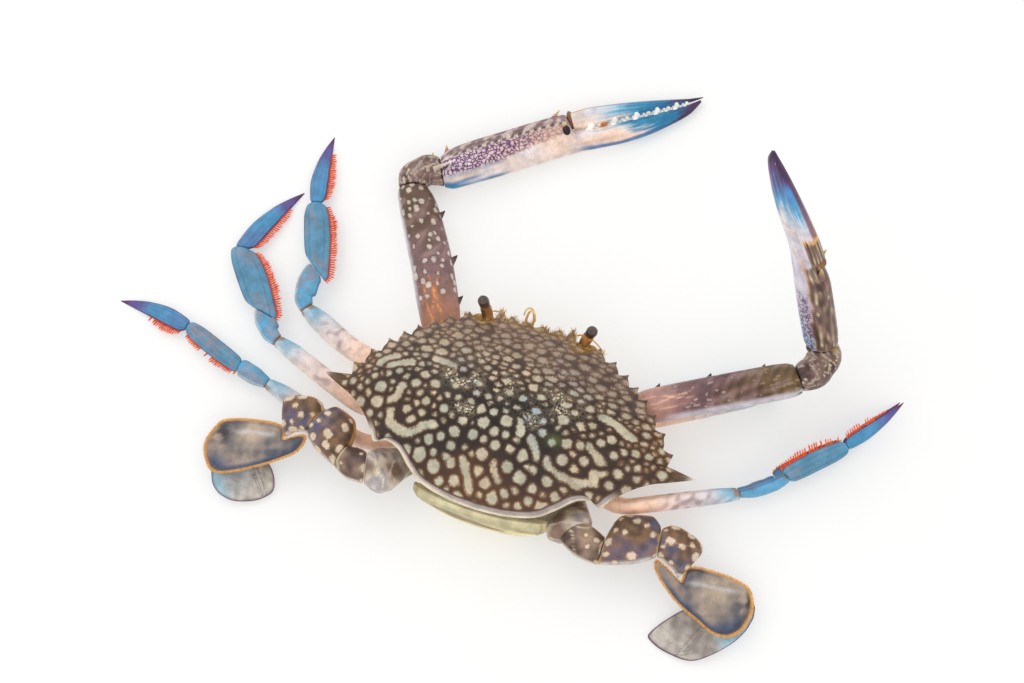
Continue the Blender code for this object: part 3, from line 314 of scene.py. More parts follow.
# Mouth, eyes and feelers
MAXILLIPED = (
    (0, 4.2, 4.2, 0.9), (0.15, 5.4, 5.2, 1.1), (0.6, 5.4, 5.0, 1.1), (0.8, 4.6, 4.0, 1.0),
    (1, 2.6, 2.2, 0.8),
)
EYESTALK = ((0, 1.8, 1.8, 1.8), (0.4, 1.7, 1.7, 1.7), (0.8, 2.2, 2.2, 2.2), (1, 2.1, 2.1, 2.1))
CORNEA = (
    (0, 1.9, 1.9, 1.9), (0.2, 2.1, 2.1, 2.1), (0.5, 2.2, 2.2, 2.2), (0.8, 1.7, 1.7, 1.7),
    (1, 0.4, 0.4, 0.4),
)
EYE_ROOT = (16.8, -33.4, 19.4)
EYE_NECK = (20.9, -40.2, 27.4)
EYE_CROWN = (22.7, -42.8, 30.8)
ANTENNA = (
    (0, 1.5, 1.5, 1.5), (0.1, 1.2, 1.2, 1.2), (0.16, 0.5, 0.5, 0.5), (0.6, 0.35, 0.35, 0.35),
    (1, 0.26, 0.26, 0.26),
)
ANTENNA_PATH = (
    (11.8, -29.2, 15.9), (13.2, -40.2, 19.6), (16.6, -42.2, 18.6), (21.0, -41.6, 16.4),
    (25.5, -38.6, 14.8),
)
ANTENNULE = (
    (0, 0.9, 0.9, 0.9), (0.3, 0.75, 0.75, 0.75), (0.55, 0.5, 0.5, 0.5), (0.8, 0.4, 0.4, 0.4),
    (1, 0.26, 0.26, 0.26),
)
ANTENNULE_PATH = {
    "left": (
        (3.4, -30.1, 16.5), (5.6, -40.8, 21.5), (4.4, -44.0, 25.0), (2.0, -43.4, 25.8),
        (1.4, -40.6, 23.4),
    ),
    "right": (
        (-4.0, -29.9, 16.5), (-2.4, -41.8, 21.5), (-3.4, -45.0, 25.0), (-5.7, -44.4, 25.8),
        (-6.4, -41.8, 23.4),
    ),
}
FEELER_WIDE = (0.3, 0.2, 0.93)
# Lumps of an eye's socket: middle, half width, half depth and half height
SOCKET_LUMPS = (
    (18.6, -35.2, 22.6, 4.6, 2.6, 2.0), (13.6, -34.8, 21.6, 3.6, 2.4, 1.8),
    (22.4, -35.6, 23.4, 2.8, 2.2, 1.6), (8.4, -33.6, 20.6, 4.4, 2.0, 1.8),
)

# Camera, as the photograph was taken: its place, and the ways to the image's right and top
CAMERA_PLACE = (-193.75, 170.56, 895.10)
CAMERA_RIGHT = (-0.93827, -0.31450, -0.14401)
CAMERA_UP = (0.26736, -0.92354, 0.27494)
CAMERA_BACK = (-0.21947, 0.21947, 0.95061)
CAMERA_LENS = 85.0


def rgb(red, green, blue):
    """A colour as it looks on a screen, 0 to 255, in the linear values that shaders use."""
    value = np.array([red, green, blue]) / 255
    return np.where(value <= 0.04045, value / 12.92, ((value + 0.055) / 1.055) ** 2.4)


def unit(vector):
    vector = np.asarray(vector, float)
    return vector / np.linalg.norm(vector)


def direction(side, heading, pitch):
    """A heading of 0 degrees is forwards and 90 is outwards. The pitch is above the level."""
    flat = cos(radians(pitch))
    return np.array(
        [
            SIDES[side] * sin(radians(heading)) * flat,
            -cos(radians(heading)) * flat,
            sin(radians(pitch)),
        ]
    )


def step_from(point, side, step):
    """Where a step of a limb leads, from its length, heading and pitch."""
    length, heading, pitch = step
    return point + direction(side, heading, pitch) * length


def clamp(value):
    return np.clip(value, 0, 1)


def hump(value, middle, width):
    """A bell of height 1 about a middle value."""
    return np.exp(-(((value - middle) / width) ** 2))


def mound(x, y, place, size):
    """A bell of height 1 about a place in a plane."""
    return np.exp(-(((x - place[0]) / size[0]) ** 2) - ((y - place[1]) / size[1]) ** 2)


def band(value, low, high, soft):
    """1 between two values and 0 outside them, with soft ends."""
    return smoothstep(low - soft, low + soft, value) * smoothstep(high + soft, high - soft, value)


def smoothstep(low, high, value):
    share = clamp((np.asarray(value, float) - low) / (high - low))
    return share * share * (3 - 2 * share)


def blend(first, second, share):
    """Colours between two others, point by point."""
    share = np.asarray(share, float)[..., None]
    return first * (1 - share) + second * share


def ramp(value, *stops):
    """Colours along a row of (place, colour) stops."""
    places = [place for place, _ in stops]
    columns = [np.interp(value, places, [colour[c] for _, colour in stops]) for c in range(3)]
    return np.stack(columns, axis=-1)


def ripple(points, size, seed):
    """Smooth noise from -1 to 1 whose features are about size across."""
    rng = np.random.default_rng(seed)
    total = 0.0
    for _ in range(9):
        wave = rng.normal(size=3)
        wave *= rng.uniform(0.6, 1.5) * 2 * pi / (size * 2.2) / np.linalg.norm(wave)
        total = total + np.sin(points @ wave + rng.uniform(0, 2 * pi))
    return np.clip(total / 3.4, -1, 1)


def eased(at, stations, values):
    """Values at places between stations, on a smooth curve that never overshoots."""
    x = np.asarray(stations, float)
    y = np.asarray(values, float)
    steps = np.diff(x)
    grades = np.diff(y) / steps
    slopes = np.zeros(len(x))
    slopes[0], slopes[-1] = grades[0], grades[-1]
    for k in range(1, len(x) - 1):
        if grades[k - 1] * grades[k] > 0:
            first = 2 * steps[k] + steps[k - 1]
            second = steps[k] + 2 * steps[k - 1]
            slopes[k] = (first + second) / (first / grades[k - 1] + second / grades[k])
    at = np.asarray(at, float)
    k = np.clip(np.searchsorted(x, at, side="right") - 1, 0, len(steps) - 1)
    t = (at - x[k]) / steps[k]
    start = y[k] * (1 + 2 * t) + steps[k] * slopes[k] * t
    end = y[k + 1] * (3 - 2 * t) + steps[k] * slopes[k + 1] * (t - 1)
    return start * (1 - t) ** 2 + end * t**2


def polyline_at(points, distance):
    """The point at a distance along a line, which runs on straight past its end."""
    for a, b in zip(points[:-1], points[1:]):
        length = np.linalg.norm(b - a)
        if distance <= length:
            return a + (b - a) * (distance / length)
        distance -= length
    return points[-1] + unit(points[-1] - points[-2]) * distance


def distances_along(points):
    """How far along a line each of its points lies."""
    return np.concatenate([[0], np.cumsum(np.linalg.norm(np.diff(points, axis=0), axis=1))])


def path_length(points):
    return sum(np.linalg.norm(b - a) for a, b in zip(points[:-1], points[1:]))


def path_at(points, share, rounding):
    """A point and direction at a share of a polyline whose corners are rounded."""
    total = path_length(points)
    at = share * total

    def smoothed(distance):
        reach = max(min(rounding, distance, total - distance), 0.0)
        spread = [distance + reach * k / 4 for k in range(-4, 5)]
        return np.mean([polyline_at(points, d) for d in spread], axis=0)

    ahead = smoothed(min(at + 0.3, total))
    behind = smoothed(max(at - 0.3, 0.0))
    return smoothed(at), unit(ahead - behind)


def rolled(side, roll):
    """The way to a limb's leading edge, from its axis and its roll in degrees."""

    def wide_of(along):
        flat = unit(np.cross(along, UP)) * SIDES[side]
        across = np.cross(flat, along) * SIDES[side]
        return flat * cos(radians(roll)) + across * sin(radians(roll))

    return wide_of


def towards(aim):
    """The way to a limb's leading edge, as near to a given direction as its axis allows."""

    def wide_of(along):
        return unit(aim - along * (aim @ along))

    return wide_of


def inside_of_bend(arriving, leaving):
    """The way to the hollow side of a bent piece."""
    turn = unit(np.cross(arriving, leaving))

    def wide_of(along):
        return unit(np.cross(turn, along))

    return wide_of


def mitre(*directions):
    """The way that a joint's plane faces, between those of the pieces that meet there."""
    return unit(np.sum(directions, axis=0))


def elbow(start, end, arriving, leaving):
    """The corner of a bent piece, between its two ends and the pieces before and after it."""
    reach = 0.6 * np.linalg.norm(end - start)
    return ((start + arriving * reach) + (end - leaving * reach)) / 2


def hip_of(limb, side):
    """The middle and the outward way of the thorax face that carries a limb."""
    place = ("claw", "leg1", "leg2", "leg3", "swim").index(limb)
    a = np.array(THORAX_SIDE[place])
    b = np.array(THORAX_SIDE[place + 1])
    x, y = (a + b) / 2
    out = unit((b[1] - a[1], a[0] - b[0]))
    sign = SIDES[side]
    z = RIGHT_LEG3_HIP_Z if (limb, side) == ("leg3", "right") else HIP_Z[limb]
    outward = np.array([sign * out[0], out[1], 0.0])
    return np.array([sign * x, y, z]) + outward * GAP / 2, outward


# Shapes: a shape is a dict of points, faces and one array for each kind of paint


def grid_faces(rows, corners):
    """Quads over rows of closed rings."""
    faces = []
    for row in range(rows - 1):
        for k in range(corners):
            a = row * corners + k
            b = row * corners + (k + 1) % corners
            faces.append((a, b, b + corners, a + corners))
    return faces


def above_floor(rings):
    """Rings as one array, with no point below the floor."""
    rings = np.array(rings)
    rings[..., 2] = np.maximum(rings[..., 2], 0.0)
    return rings


def with_grids(rings, shares, angles):
    """Rings, with a share of the length and an angle for each of their points."""
    grid = (len(shares), len(angles))
    return rings, np.broadcast_to(shares[:, None], grid), np.broadcast_to(angles, grid)


def closed_rings(rings):
    """Points and faces of a closed skin over an array of rings, capped by fans."""
    rows, corners, _ = rings.shape
    points = rings.reshape(-1, 3)
    faces = grid_faces(rows, corners)
    points = np.vstack([points, rings[0].mean(axis=0), rings[-1].mean(axis=0)])
    for row, middle in ((0, rows * corners), (rows - 1, rows * corners + 1)):
        for k in range(corners):
            faces.append((row * corners + k, row * corners + (k + 1) % corners, middle))
    return points, faces


def shape_of(points, faces, tint, mark=None, spot=FAR, net=0.0, grain=0.3):
    """A shape whose paint is given all over or at each of its points."""
    count = len(points)
    shape = {"points": np.asarray(points, float), "faces": faces}
    for name, colour in (("tint", tint), ("mark", tint if mark is None else mark)):
        shape[name] = np.broadcast_to(np.asarray(colour, float), (count, 3))
    for name, value in (("spot", spot), ("net", net), ("grain", grain)):
        shape[name] = np.broadcast_to(value, (count,)).astype(float)
    return shape


def joined(shapes):
    """Several shapes as one."""
    made = {name: np.concatenate([s[name] for s in shapes]) for name in shapes[0] if name != "faces"}
    faces = []
    first = 0
    for shape in shapes:
        faces += [tuple(index + first for index in face) for face in shape["faces"]]
        first += len(shape["points"])
    made["faces"] = faces
    return made


def add_piece(name, shape, material, nodes=()):
    """A new object on the body, its paint kept as point attributes."""
    mesh = bpy.data.meshes.new(name)
    mesh.from_pydata((shape["points"] * MM).tolist(), [], shape["faces"])
    turned = bmesh.new()
    turned.from_mesh(mesh)
    bmesh.ops.recalc_face_normals(turned, faces=turned.faces)
    turned.to_mesh(mesh)
    turned.free()
    for key in ("tint", "mark"):
        colours = np.hstack([clamp(shape[key]), np.ones((len(shape[key]), 1))])
        layer = mesh.attributes.new(key, "FLOAT_COLOR", "POINT")
        layer.data.foreach_set("color", colours.astype(np.float32).ravel())
    for key in ("spot", "net", "grain"):
        layer = mesh.attributes.new(key, "FLOAT", "POINT")
        layer.data.foreach_set("value", shape[key].astype(np.float32))
    mesh.materials.append(material)
    mesh.shade_smooth()
    mesh.set_sharp_from_angle(angle=radians(SHARP_ANGLE))
    piece = bpy.data.objects.new(name, mesh)
    bpy.context.scene.collection.objects.link(piece)
    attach(piece, "root")
    if nodes:
        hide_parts(*nodes)
    return piece


def dress(node, shape, material):
    """The shell that stands for one of the solids."""
    add_piece(f"shell_{node}", shape, material, [node])


def cone(base, tip, radius, tint, tip_tint=None, corners=10, curve=0.0):
    """A tapering spine with a rounded tip, painted from its base to its tip."""
    along = unit(tip - base)
    first = unit(np.cross(along, UP))
    second = np.cross(along, first)
    angles = 2 * pi * np.arange(corners) / corners
    rings = []
    shares = np.array([0, 0.25, 0.5, 0.72, 0.88, 0.97])
    for share in shares:
        size = radius * (1 - share) ** 0.85
        bend = second * curve * share * (1 - share)
        centre = base + (tip - base) * share + bend
        ring = np.outer(np.cos(angles), first) + np.outer(np.sin(angles), second)
        rings.append(centre + ring * size)
    points, faces = closed_rings(np.array(rings))
    points[-1] = tip
    tip_tint = tint if tip_tint is None else tip_tint
    at = np.concatenate([np.repeat(shares, corners), [0, 1]])
    return shape_of(points, faces, blend(tint, tip_tint, smoothstep(0.3, 0.9, at)), grain=0.1)


def ball(centre, radii, axes, tint, rows=10, corners=14):
    """An ellipsoid about its own axes."""
    heights = np.linspace(-1, 1, rows + 2)[1:-1]
    heights = np.sin(heights * pi / 2)
    angles = 2 * pi * np.arange(corners) / corners
    rings = []
    for height in heights:
        size = np.sqrt(1 - height**2)
        ring = np.outer(np.cos(angles) * size * radii[0], axes[0])
        ring += np.outer(np.sin(angles) * size * radii[1], axes[1])
        rings.append(centre + ring + axes[2] * height * radii[2])
    points, faces = closed_rings(np.array(rings))
    return shape_of(points, faces, tint, grain=0.1)


def round_section(angles):
    return np.cos(angles), np.sin(angles)


def leaning_ring(centre, along, wide, lean, across, rise):
    """A ring round an axis, in a plane that faces another way. Each of its points is slid
    along the axis into that plane, so the ring keeps its width."""
    offset = np.outer(across, wide) + np.outer(rise, unit(np.cross(wide, along)))
    return centre + (offset - np.outer(offset @ lean / (along @ lean), along))


BEVEL = 0.45  # the length of the softened edge at each end
END_SHARE = 0.05  # the gap at an end is worked in over this share of the length
LEAN_SHARE = 0.4  # over this share of the length a section turns from its joint's plane


def loft(
    path, table, leans, wide_of, rounding=6.0, step=0.7, corners=32, scale=1.0, section=round_section
):
    """A smooth limb piece between two joint planes. Returns its rings, and for each of their
    points the share of the length and the angle from the leading edge."""
    length = path_length(path)
    rows = max(int(length / step), 8)
    shares = np.linspace(0, 1, rows)
    bevel = min(BEVEL / length, END_SHARE)
    ends = np.array([0, bevel / 3, bevel])
    shares = np.unique(np.concatenate([ends, shares[1:-1], 1 - ends[::-1]]))
    stations, aheads, behinds, thicks = (np.array(column, float) for column in zip(*table))
    ahead = eased(shares, stations, aheads)
    behind = eased(shares, stations, behinds)
    thick = eased(shares, stations, thicks)
    angles = 2 * pi * (np.arange(corners) + 0.5) / corners
    rings = []
    open_end = table[-1][1] > 0.5
    for share, front, back, high in zip(shares, ahead, behind, thick):
        centre, along = path_at(path, share, rounding)
        near_start = max(0.0, 1 - share / LEAN_SHARE)
        near_end = max(0.0, 1 - (1 - share) / LEAN_SHARE)
        lean = unit(along + (leans[0] - along) * near_start + (leans[1] - along) * near_end)
        inset = GAP / 2 * max(0.0, 1 - share / END_SHARE)
        centre = centre + along * inset / (along @ leans[0])
        if open_end:
            inset = GAP / 2 * max(0.0, 1 - (1 - share) / END_SHARE)
            centre = centre - along * inset / (along @ leans[1])
        size = scale
        if share < bevel:
            size *= 1 - 0.1 * (1 - share / bevel) ** 2
        if share > 1 - bevel and open_end:
            size *= 1 - 0.1 * (1 - (1 - share) / bevel) ** 2
        across, rise = section(angles)
        across = (front - back) / 2 * size + (front + back) / 2 * size * across
        rise = rise * high * size
        rings.append(leaning_ring(centre, along, wide_of(along), lean, across, rise))
    return with_grids(above_floor(rings), shares, angles)


def painted_shape(rings, painted):
    """A closed shape over rings, from its paint at each of their points or all over."""
    points, faces = closed_rings(rings)
    capped = {}
    for key, values in painted.items():
        depth = (3,) if key in ("tint", "mark") else ()
        grid = np.broadcast_to(values, (*rings.shape[:2], *depth))
        ends = [grid[0].mean(axis=0)[None], grid[-1].mean(axis=0)[None]]
        capped[key] = np.concatenate([grid.reshape(-1, *depth), *ends])
    return shape_of(points, faces, **capped)


def lofted_shape(made, paint):
    """A shape from loft's result. The paint is a function of the shares, angles and points."""
    rings, shares, angles = made
    return painted_shape(rings, paint(shares, angles, rings))


def spot_distance(points, spots):
    """The distance from points to the nearest of some spots, less its radius. A spot is two
    ends and a radius, so it may be round or drawn out."""
    flat = points.reshape(-1, points.shape[-1])
    nearest = np.full(len(flat), FAR)
    for start, end, radius in spots:
        start = np.asarray(start, float)
        way = np.asarray(end, float) - start
        length = max(way @ way, 1e-9)
        near = np.abs(flat - (start + way / 2)).max(axis=1) < radius + np.sqrt(length) / 2 + 4
        close = flat[near] - start
        share = clamp(close @ way / length)
        distance = np.linalg.norm(close - np.outer(share, way), axis=1) - radius
        nearest[near] = np.minimum(nearest[near], distance)
    return nearest.reshape(points.shape[:-1])


def scattered_spots(rings, count, radii, seed, keep, clear, stretch):
    """Seeded spots over a loft's surface that keep clear of each other."""
    rng = np.random.default_rng(seed)
    rows, corners, _ = rings.shape
    spots = []
    for _ in range(count * 12):
        if len(spots) >= count:
            break
        row = rng.integers(2, rows - 2)
        k = rng.integers(0, corners)
        if not keep[row, k]:
            continue
        place = rings[row, k]
        radius = rng.uniform(*radii)
        if any(np.linalg.norm(place - (a + b) / 2) < radius + r + clear for a, b, r in spots):
            continue
        along = unit(rings[min(row + 2, rows - 1), k] - rings[max(row - 2, 0), k])
        half = along * radius * rng.uniform(0, stretch)
        spots.append((place - half, place + half, radius))
    return spots


# Carapace

DARK_SHELL = rgb(44, 33, 28)
RED_SHELL = rgb(92, 60, 42)
MAUVE_SHELL = rgb(98, 78, 70)
PALE_SPOT = rgb(182, 182, 164)
WARM_SPOT = rgb(204, 178, 144)
MAUVE_SPOT = rgb(168, 152, 140)
HALO = rgb(136, 98, 62)
# Marks that stand out from the cells, each a row of places in plan
CARAPACE_MARKS = (
    ((41.6, 9.5), (40.6, 13.6), (36.5, 15.7), (32.2, 15.8), (26.6, 12.7), (22.5, 11.1)),
    ((42.8, 6.0), (40.6, 4.0), (39.3, -0.3)),
    ((48.2, -7.8), (39.5, -10.5)),
    ((52.5, -8.0), (47.1, -11.8)),
    ((30.0, -13.9), (22.9, -12.8)),
    ((-36.8, -10.2), (-42.9, -8.7), (-48.8, -6.2)),
    (
        (-22.2, 12.0), (-24.9, 14.5), (-30.0, 15.8), (-35.7, 16.4), (-40.7, 14.5), (-40.0, 10.9),
        (-42.8, 9.6),
    ),
    ((-36.2, 2.2), (-41.4, 6.7)),
    ((-14.6, 5.8), (-18.0, 11.9)),
    ((7.9, 20.0), (5.5, 24.5), (3.8, 29.6)),
    ((14.8, 20.6), (12.6, 22.3)),
    ((-4.0, 18.8), (-6.0, 23.4)),
    ((-15.8, 16.2), (-17.8, 16.4)),
    ((-9.0, 0.8), (-10.0, 4.8)),
)
MARK_SIZE = 1.95
MARK_SPACING = 1.5
CELL_SEED = 11
CELL_TRIES = 16000
CELL_REGION = ((-76, 76), (-41, 37))
CELL_SIZES = (0.6, 1.36)
CELL_CLEARANCE = 0.88  # nearer than this, of two cells' sizes, they would overlap
CELL_TOUCH = 1.12  # nearer than this they touch
CELL_MERGES = 0.16  # the share of touching cells that grow together
FIRST_TOUCHED = 28  # cells before this one count as touching none
FIRST_MERGING = 60  # cells up to this one take no others into their group
CELL_BIN = 7.0  # the side of the squares that are painted one by one
CELL_REACH = 8.0  # cells this far outside a square still count for it
CELL_SHARPNESS = 7.0  # how sharply the lines between cells turn
GREEN_PATCH = (-22.6, 4.0)
GRANULAR_PATCHES = (
    (18.3, -10.0, 8.0, 4.6), (2.9, -10.1, 7.0, 4.0), (-19.7, -9.9, 9.0, 4.6),
    (-11.7, -0.8, 6.0, 2.8), (12.7, 2.0, 5.0, 2.4),
)


def margin_half():
    """The left half of the carapace's margin, from the front round to the rear."""
    points = [list(p) for p in FRONT_MARGIN]
    spread = TOOTH_ANGLES[-1] - TOOTH_ANGLES[0]
    last = None
    for angle in TOOTH_ANGLES:
        for along, short, stands in TOOTH_PROFILE if last else TOOTH_PROFILE[-1:]:
            at = angle if last is None else last + (angle - last) * along
            radius = ARC_RADIUS - TOOTH_LENGTH * short
            share = (at - TOOTH_ANGLES[0]) / spread
            x, y = ARC_CENTRE + radius * np.array([sin(radians(at)), -cos(radians(at))])
            z = MARGIN_FRONT_Z + (MARGIN_SIDE_Z - MARGIN_FRONT_Z) * share
            points.append([x, y, z, stands])
        last = angle
    points += [list(p) for p in LATERAL_SPINE]
    points += [list(p) for p in REAR_MARGIN]
    return points


def cell_stretch(y):
    """How far the shell's spots are drawn out sideways, and squeezed lengthways."""
    return 1 + 0.32 * smoothstep(4, -20, y)


def cell_size(x, y):
    """Half the spacing of the shell's spots, finer towards the front and the sides."""
    size = 1.55 + 1.1 * smoothstep(-18, 16, y)
    return size * (1 - 0.2 * smoothstep(38, 62, np.abs(x)))


def carapace_cells():
    """Close-packed cells: their places in plan, sizes, the group each belongs to and its tone."""
    rng = np.random.default_rng(CELL_SEED)
    places, sizes, groups = [], [], []
    for number, mark in enumerate(CARAPACE_MARKS):
        line = [np.array(point) for point in mark]
        count = max(int(path_length(line) / MARK_SPACING), 1)
        for k in range(count + 1):
            places.append(polyline_at(line, path_length(line) * k / count))
            sizes.append(MARK_SIZE)
            groups.append(number)
    for _ in range(CELL_TRIES):
        x, y = (rng.uniform(*reach) for reach in CELL_REGION)
        size = cell_size(x, y) * rng.uniform(*CELL_SIZES)
        way = np.array([x, y]) - places
        stretch = cell_stretch(y)
        far = np.hypot(way[:, 0] / stretch, way[:, 1] * stretch)
        if np.any(far < CELL_CLEARANCE * (size + np.array(sizes))):
            continue
        near = np.flatnonzero(far < CELL_TOUCH * (size + np.array(sizes)))
        near = near[near >= FIRST_TOUCHED]
        places.append(np.array([x, y]))
        sizes.append(size)
        merged = y > -6 and len(near) and rng.uniform() < CELL_MERGES
        groups.append(groups[near[0]] if merged and near[0] > FIRST_MERGING else len(places) + 100)
    tones = rng.uniform(0, 1, len(places) + 200)
    return np.array(places), np.array(sizes), np.array(groups), tones


def cell_pattern(plan, cells):
    """How far each place in plan lies outside its spot, and a tone that the spot keeps."""
    places, sizes, groups, tones = cells
    outside = np.full(len(plan), 3.0)
    tone = np.zeros(len(plan))
    bins = np.floor(plan / CELL_BIN).astype(int)
    line = 1.2 + 0.75 * smoothstep(-18, 10, plan[:, 1])
    for spot_bin in np.unique(bins, axis=0):
        here = np.flatnonzero((bins == spot_bin).all(axis=1))
        middle = (spot_bin + 0.5) * CELL_BIN
        near = np.flatnonzero(np.abs(places - middle).max(axis=1) < CELL_BIN / 2 + CELL_REACH)
        if len(near) < 2:
            continue
        way = plan[here][:, None] - places[near][None]
        stretch = cell_stretch(plan[here, 1])[:, None]
        far = np.hypot(way[..., 0] / stretch, way[..., 1] * stretch) / sizes[near]
        nearest = far.argmin(axis=1)
        least = far.min(axis=1)
        own = groups[near][nearest]
        others = groups[near][None] != own[:, None]
        soft = (np.exp(-CELL_SHARPNESS * far) * others).sum(axis=1)
        soft = -np.log(soft + 1e-30) / CELL_SHARPNESS
        size = sizes[near][nearest]
        tone[here] = tones[near][nearest]
        border = line[here] / 2 - (soft - least) * size / 2
        fill = np.where(own < len(CARAPACE_MARKS), 0.9, 0.6 + 0.38 * tone[here])
        cap = (least - fill) * size
        outside[here] = np.maximum(border, cap)
    return outside, tone


def granules(plan, spacing, seed):
    """How far each place in plan lies outside the nearest of many tiny granules, one a square."""
    rng = np.random.default_rng(seed)
    offsets = rng.uniform(0.1, 0.9, (64, 64, 2))
    radii = rng.uniform(0.12, 0.4, (64, 64)) * spacing
    square = np.floor(plan / spacing).astype(int)
    outside = np.full(len(plan), FAR)
    for across in (-1, 0, 1):
        for ahead in (-1, 0, 1):
            near = square + (across, ahead)
            i, j = (near % 64).T
            way = plan - (near + offsets[i, j]) * spacing
            outside = np.minimum(outside, np.linalg.norm(way, axis=1) - radii[i, j])
    return outside


def carapace_paint(points, distance, rear_rim):
    """The shell's ground, cells and patches, with its margin painted over them."""
    plan = points[:, :2]
    x, y = plan.T
    noise = ripple(points, 16, 5)
    spot, tone = cell_pattern(plan, carapace_cells())
    front = smoothstep(-8, -32, y + 4 * noise)
    side = smoothstep(36, 64, np.abs(x))
    rear = smoothstep(14, 32, y + 3 * noise)
    tint = blend(DARK_SHELL, RED_SHELL, clamp(0.55 * side + 0.6 * rear + 0.2 * noise))
    tint = blend(tint, MAUVE_SHELL, 0.7 * front)
    halo = smoothstep(0.9, 0.1, spot) * (0.5 + 0.4 * side + 0.3 * rear)
    tint = blend(tint, HALO, np.clip(halo, 0, 0.8))
    warm = clamp(0.2 + 0.5 * front + 0.35 * side + 0.4 * (tone - 0.5) + 0.3 * noise)
    mark = blend(PALE_SPOT, WARM_SPOT, warm) * (0.86 + 0.2 * tone)[:, None]
    mark = blend(mark, MAUVE_SPOT, 0.75 * front)
    patch = np.zeros(len(points))
    for *patch_place, wide, deep in GRANULAR_PATCHES:
        patch = np.maximum(patch, mound(x, y, patch_place, (wide, deep)))
    patch = patch * smoothstep(-1.0, 0.1, ripple(points, 5, 7))
    tint = blend(tint, rgb(22, 18, 16), 0.7 * mound(x, y, (-3, -3), (26, 12)))
    mark = blend(mark, tint, 0.36 * front)
    spot = spot * (1 - 0.4 * front) + 1.1 * patch
    grains = 2.2 * granules(plan, 1.25, 31) + 3 * smoothstep(0.55, 0.2, patch)
    mark = blend(mark, rgb(224, 208, 176), smoothstep(0.3, -0.3, grains - spot))
    spot = np.minimum(spot, grains)
    green = mound(x, y, GREEN_PATCH, (2.8, 2.2))
    tint = blend(tint, rgb(96, 112, 62), green * 0.55)
    mark = blend(mark, rgb(158, 182, 120), green * 0.8)
    # Painted highlight: a soft bluish-white sheen over the spots in the middle of the front.
    blue = smoothstep(0.35, 0.9, ripple(points, 9, 8)) * mound(x, y, (0, -6), (26, 16))
    mark = blend(mark, rgb(150, 168, 192), blue * 0.8)
    tint, mark, spot = margin_paint(x, y, distance, rear_rim, noise, (tint, mark, spot))
    return {"tint": tint, "mark": mark, "spot": spot, "net": 0.5 * patch, "grain": 0.3 + 0.7 * patch}


def margin_paint(x, y, distance, rear_rim, noise, paint):
    """The pale rear rim, the toothed edge, the front's amber lip and the side spines."""
    tint, mark, spot = paint
    rim = rear_rim * smoothstep(2.2, 1.8, distance)
    rim_line = rear_rim * hump(distance, 2.1, 0.3)
    pale = blend(rgb(224, 210, 186), rgb(170, 156, 152), smoothstep(0.5, 1.3, distance + 0.4 * noise))
    tint = blend(tint, pale, rim)
    tint = blend(tint, rgb(74, 56, 46), clamp(rim_line) * 0.8)
    spot = spot + 4 * np.maximum(rim, rim_line)
    toothed = (1 - rear_rim) * smoothstep(1.2, 0.2, distance)
    tint = blend(tint, rgb(86, 66, 52), 0.6 * toothed)
    mark = blend(mark, rgb(196, 172, 140), 0.5 * toothed)
    lip = smoothstep(27, 23, np.abs(x)) * smoothstep(-28, -31, y)
    lip = lip * smoothstep(3.6, 0.8, distance + 0.8 * noise)
    tint = blend(tint, rgb(128, 96, 58), 0.85 * lip)
    mark = blend(mark, rgb(176, 146, 98), 0.8 * lip)
    tip = smoothstep(70.5, 75.0, np.abs(x))
    tint = blend(tint, rgb(96, 74, 54), smoothstep(64, 68, np.abs(x)) * 0.7)
    tint = blend(tint, rgb(226, 214, 196), tip)
    spot = spot + 3 * smoothstep(67, 70, np.abs(x))
    return tint, mark, spot


def between(a, b, c, d, t):
    """A point at share t from b to c, on the smooth curve through four points."""
    square = 2 * a - 5 * b + 4 * c - d
    cube = 3 * b - a - 3 * c + d
    return 0.5 * (2 * b + (c - a) * t + square * t**2 + cube * t**3)


def catmull(points, step):
    """A smooth open curve through points, at about the given step."""
    points = np.asarray(points, float)
    padded = np.vstack([2 * points[0] - points[1], points, 2 * points[-1] - points[-2]])
    made = []
    for k in range(1, len(padded) - 2):
        a, b, c, d = padded[k - 1 : k + 3]
        count = max(int(np.linalg.norm((c - b)[:2]) / step), 1)
        made += [between(a, b, c, d, t) for t in np.arange(count) / count]
    made.append(points[-1])
    return np.array(made)


def straight(points, step):
    """The same open line with more points, its corners kept."""
    points = np.asarray(points, float)
    made = []
    for b, c in zip(points[:-1], points[1:]):
        count = max(int(np.linalg.norm((c - b)[:2]) / step), 1)
        made += [b + (c - b) * t for t in np.arange(count) / count]
    made.append(points[-1])
    return np.array(made)


def dense_margin():
    """The whole margin as closely spaced rows, its rear smooth and its teeth sharp."""
    half = margin_half()
    rear = len(half) - len(REAR_MARGIN)
    toothed = straight(half[:rear], MARGIN_STEP)
    smooth = catmull(half[rear - 1 :], MARGIN_STEP)
    left = np.vstack([toothed[:-1], smooth])
    right = left[-2:0:-1] * np.array([-1, 1, 1, 1])
    return np.vstack([left, right])


def segment_distance(plan, start, end):
    """The distance of plan points from a stretch of line."""
    start = np.asarray(start, float)
    way = np.asarray(end, float) - start
    share = clamp((plan - start) @ way / (way @ way))
    return np.linalg.norm(plan - start - share[..., None] * way, axis=-1)


def groove(plan, points, width):
    """How deep plan points lie in a mirrored groove along a polyline, 0 to 1."""
    folded = np.stack([np.abs(plan[..., 0]), plan[..., 1]], axis=-1)
    near = np.min([segment_distance(folded, a, b) for a, b in zip(points[:-1], points[1:])], axis=0)
    return hump(near, 0, width)


def swell(plan, x, y, width, depth):
    """A mirrored pair of swellings."""
    return mound(np.abs(plan[..., 0]), plan[..., 1], (x, y), (width, depth))


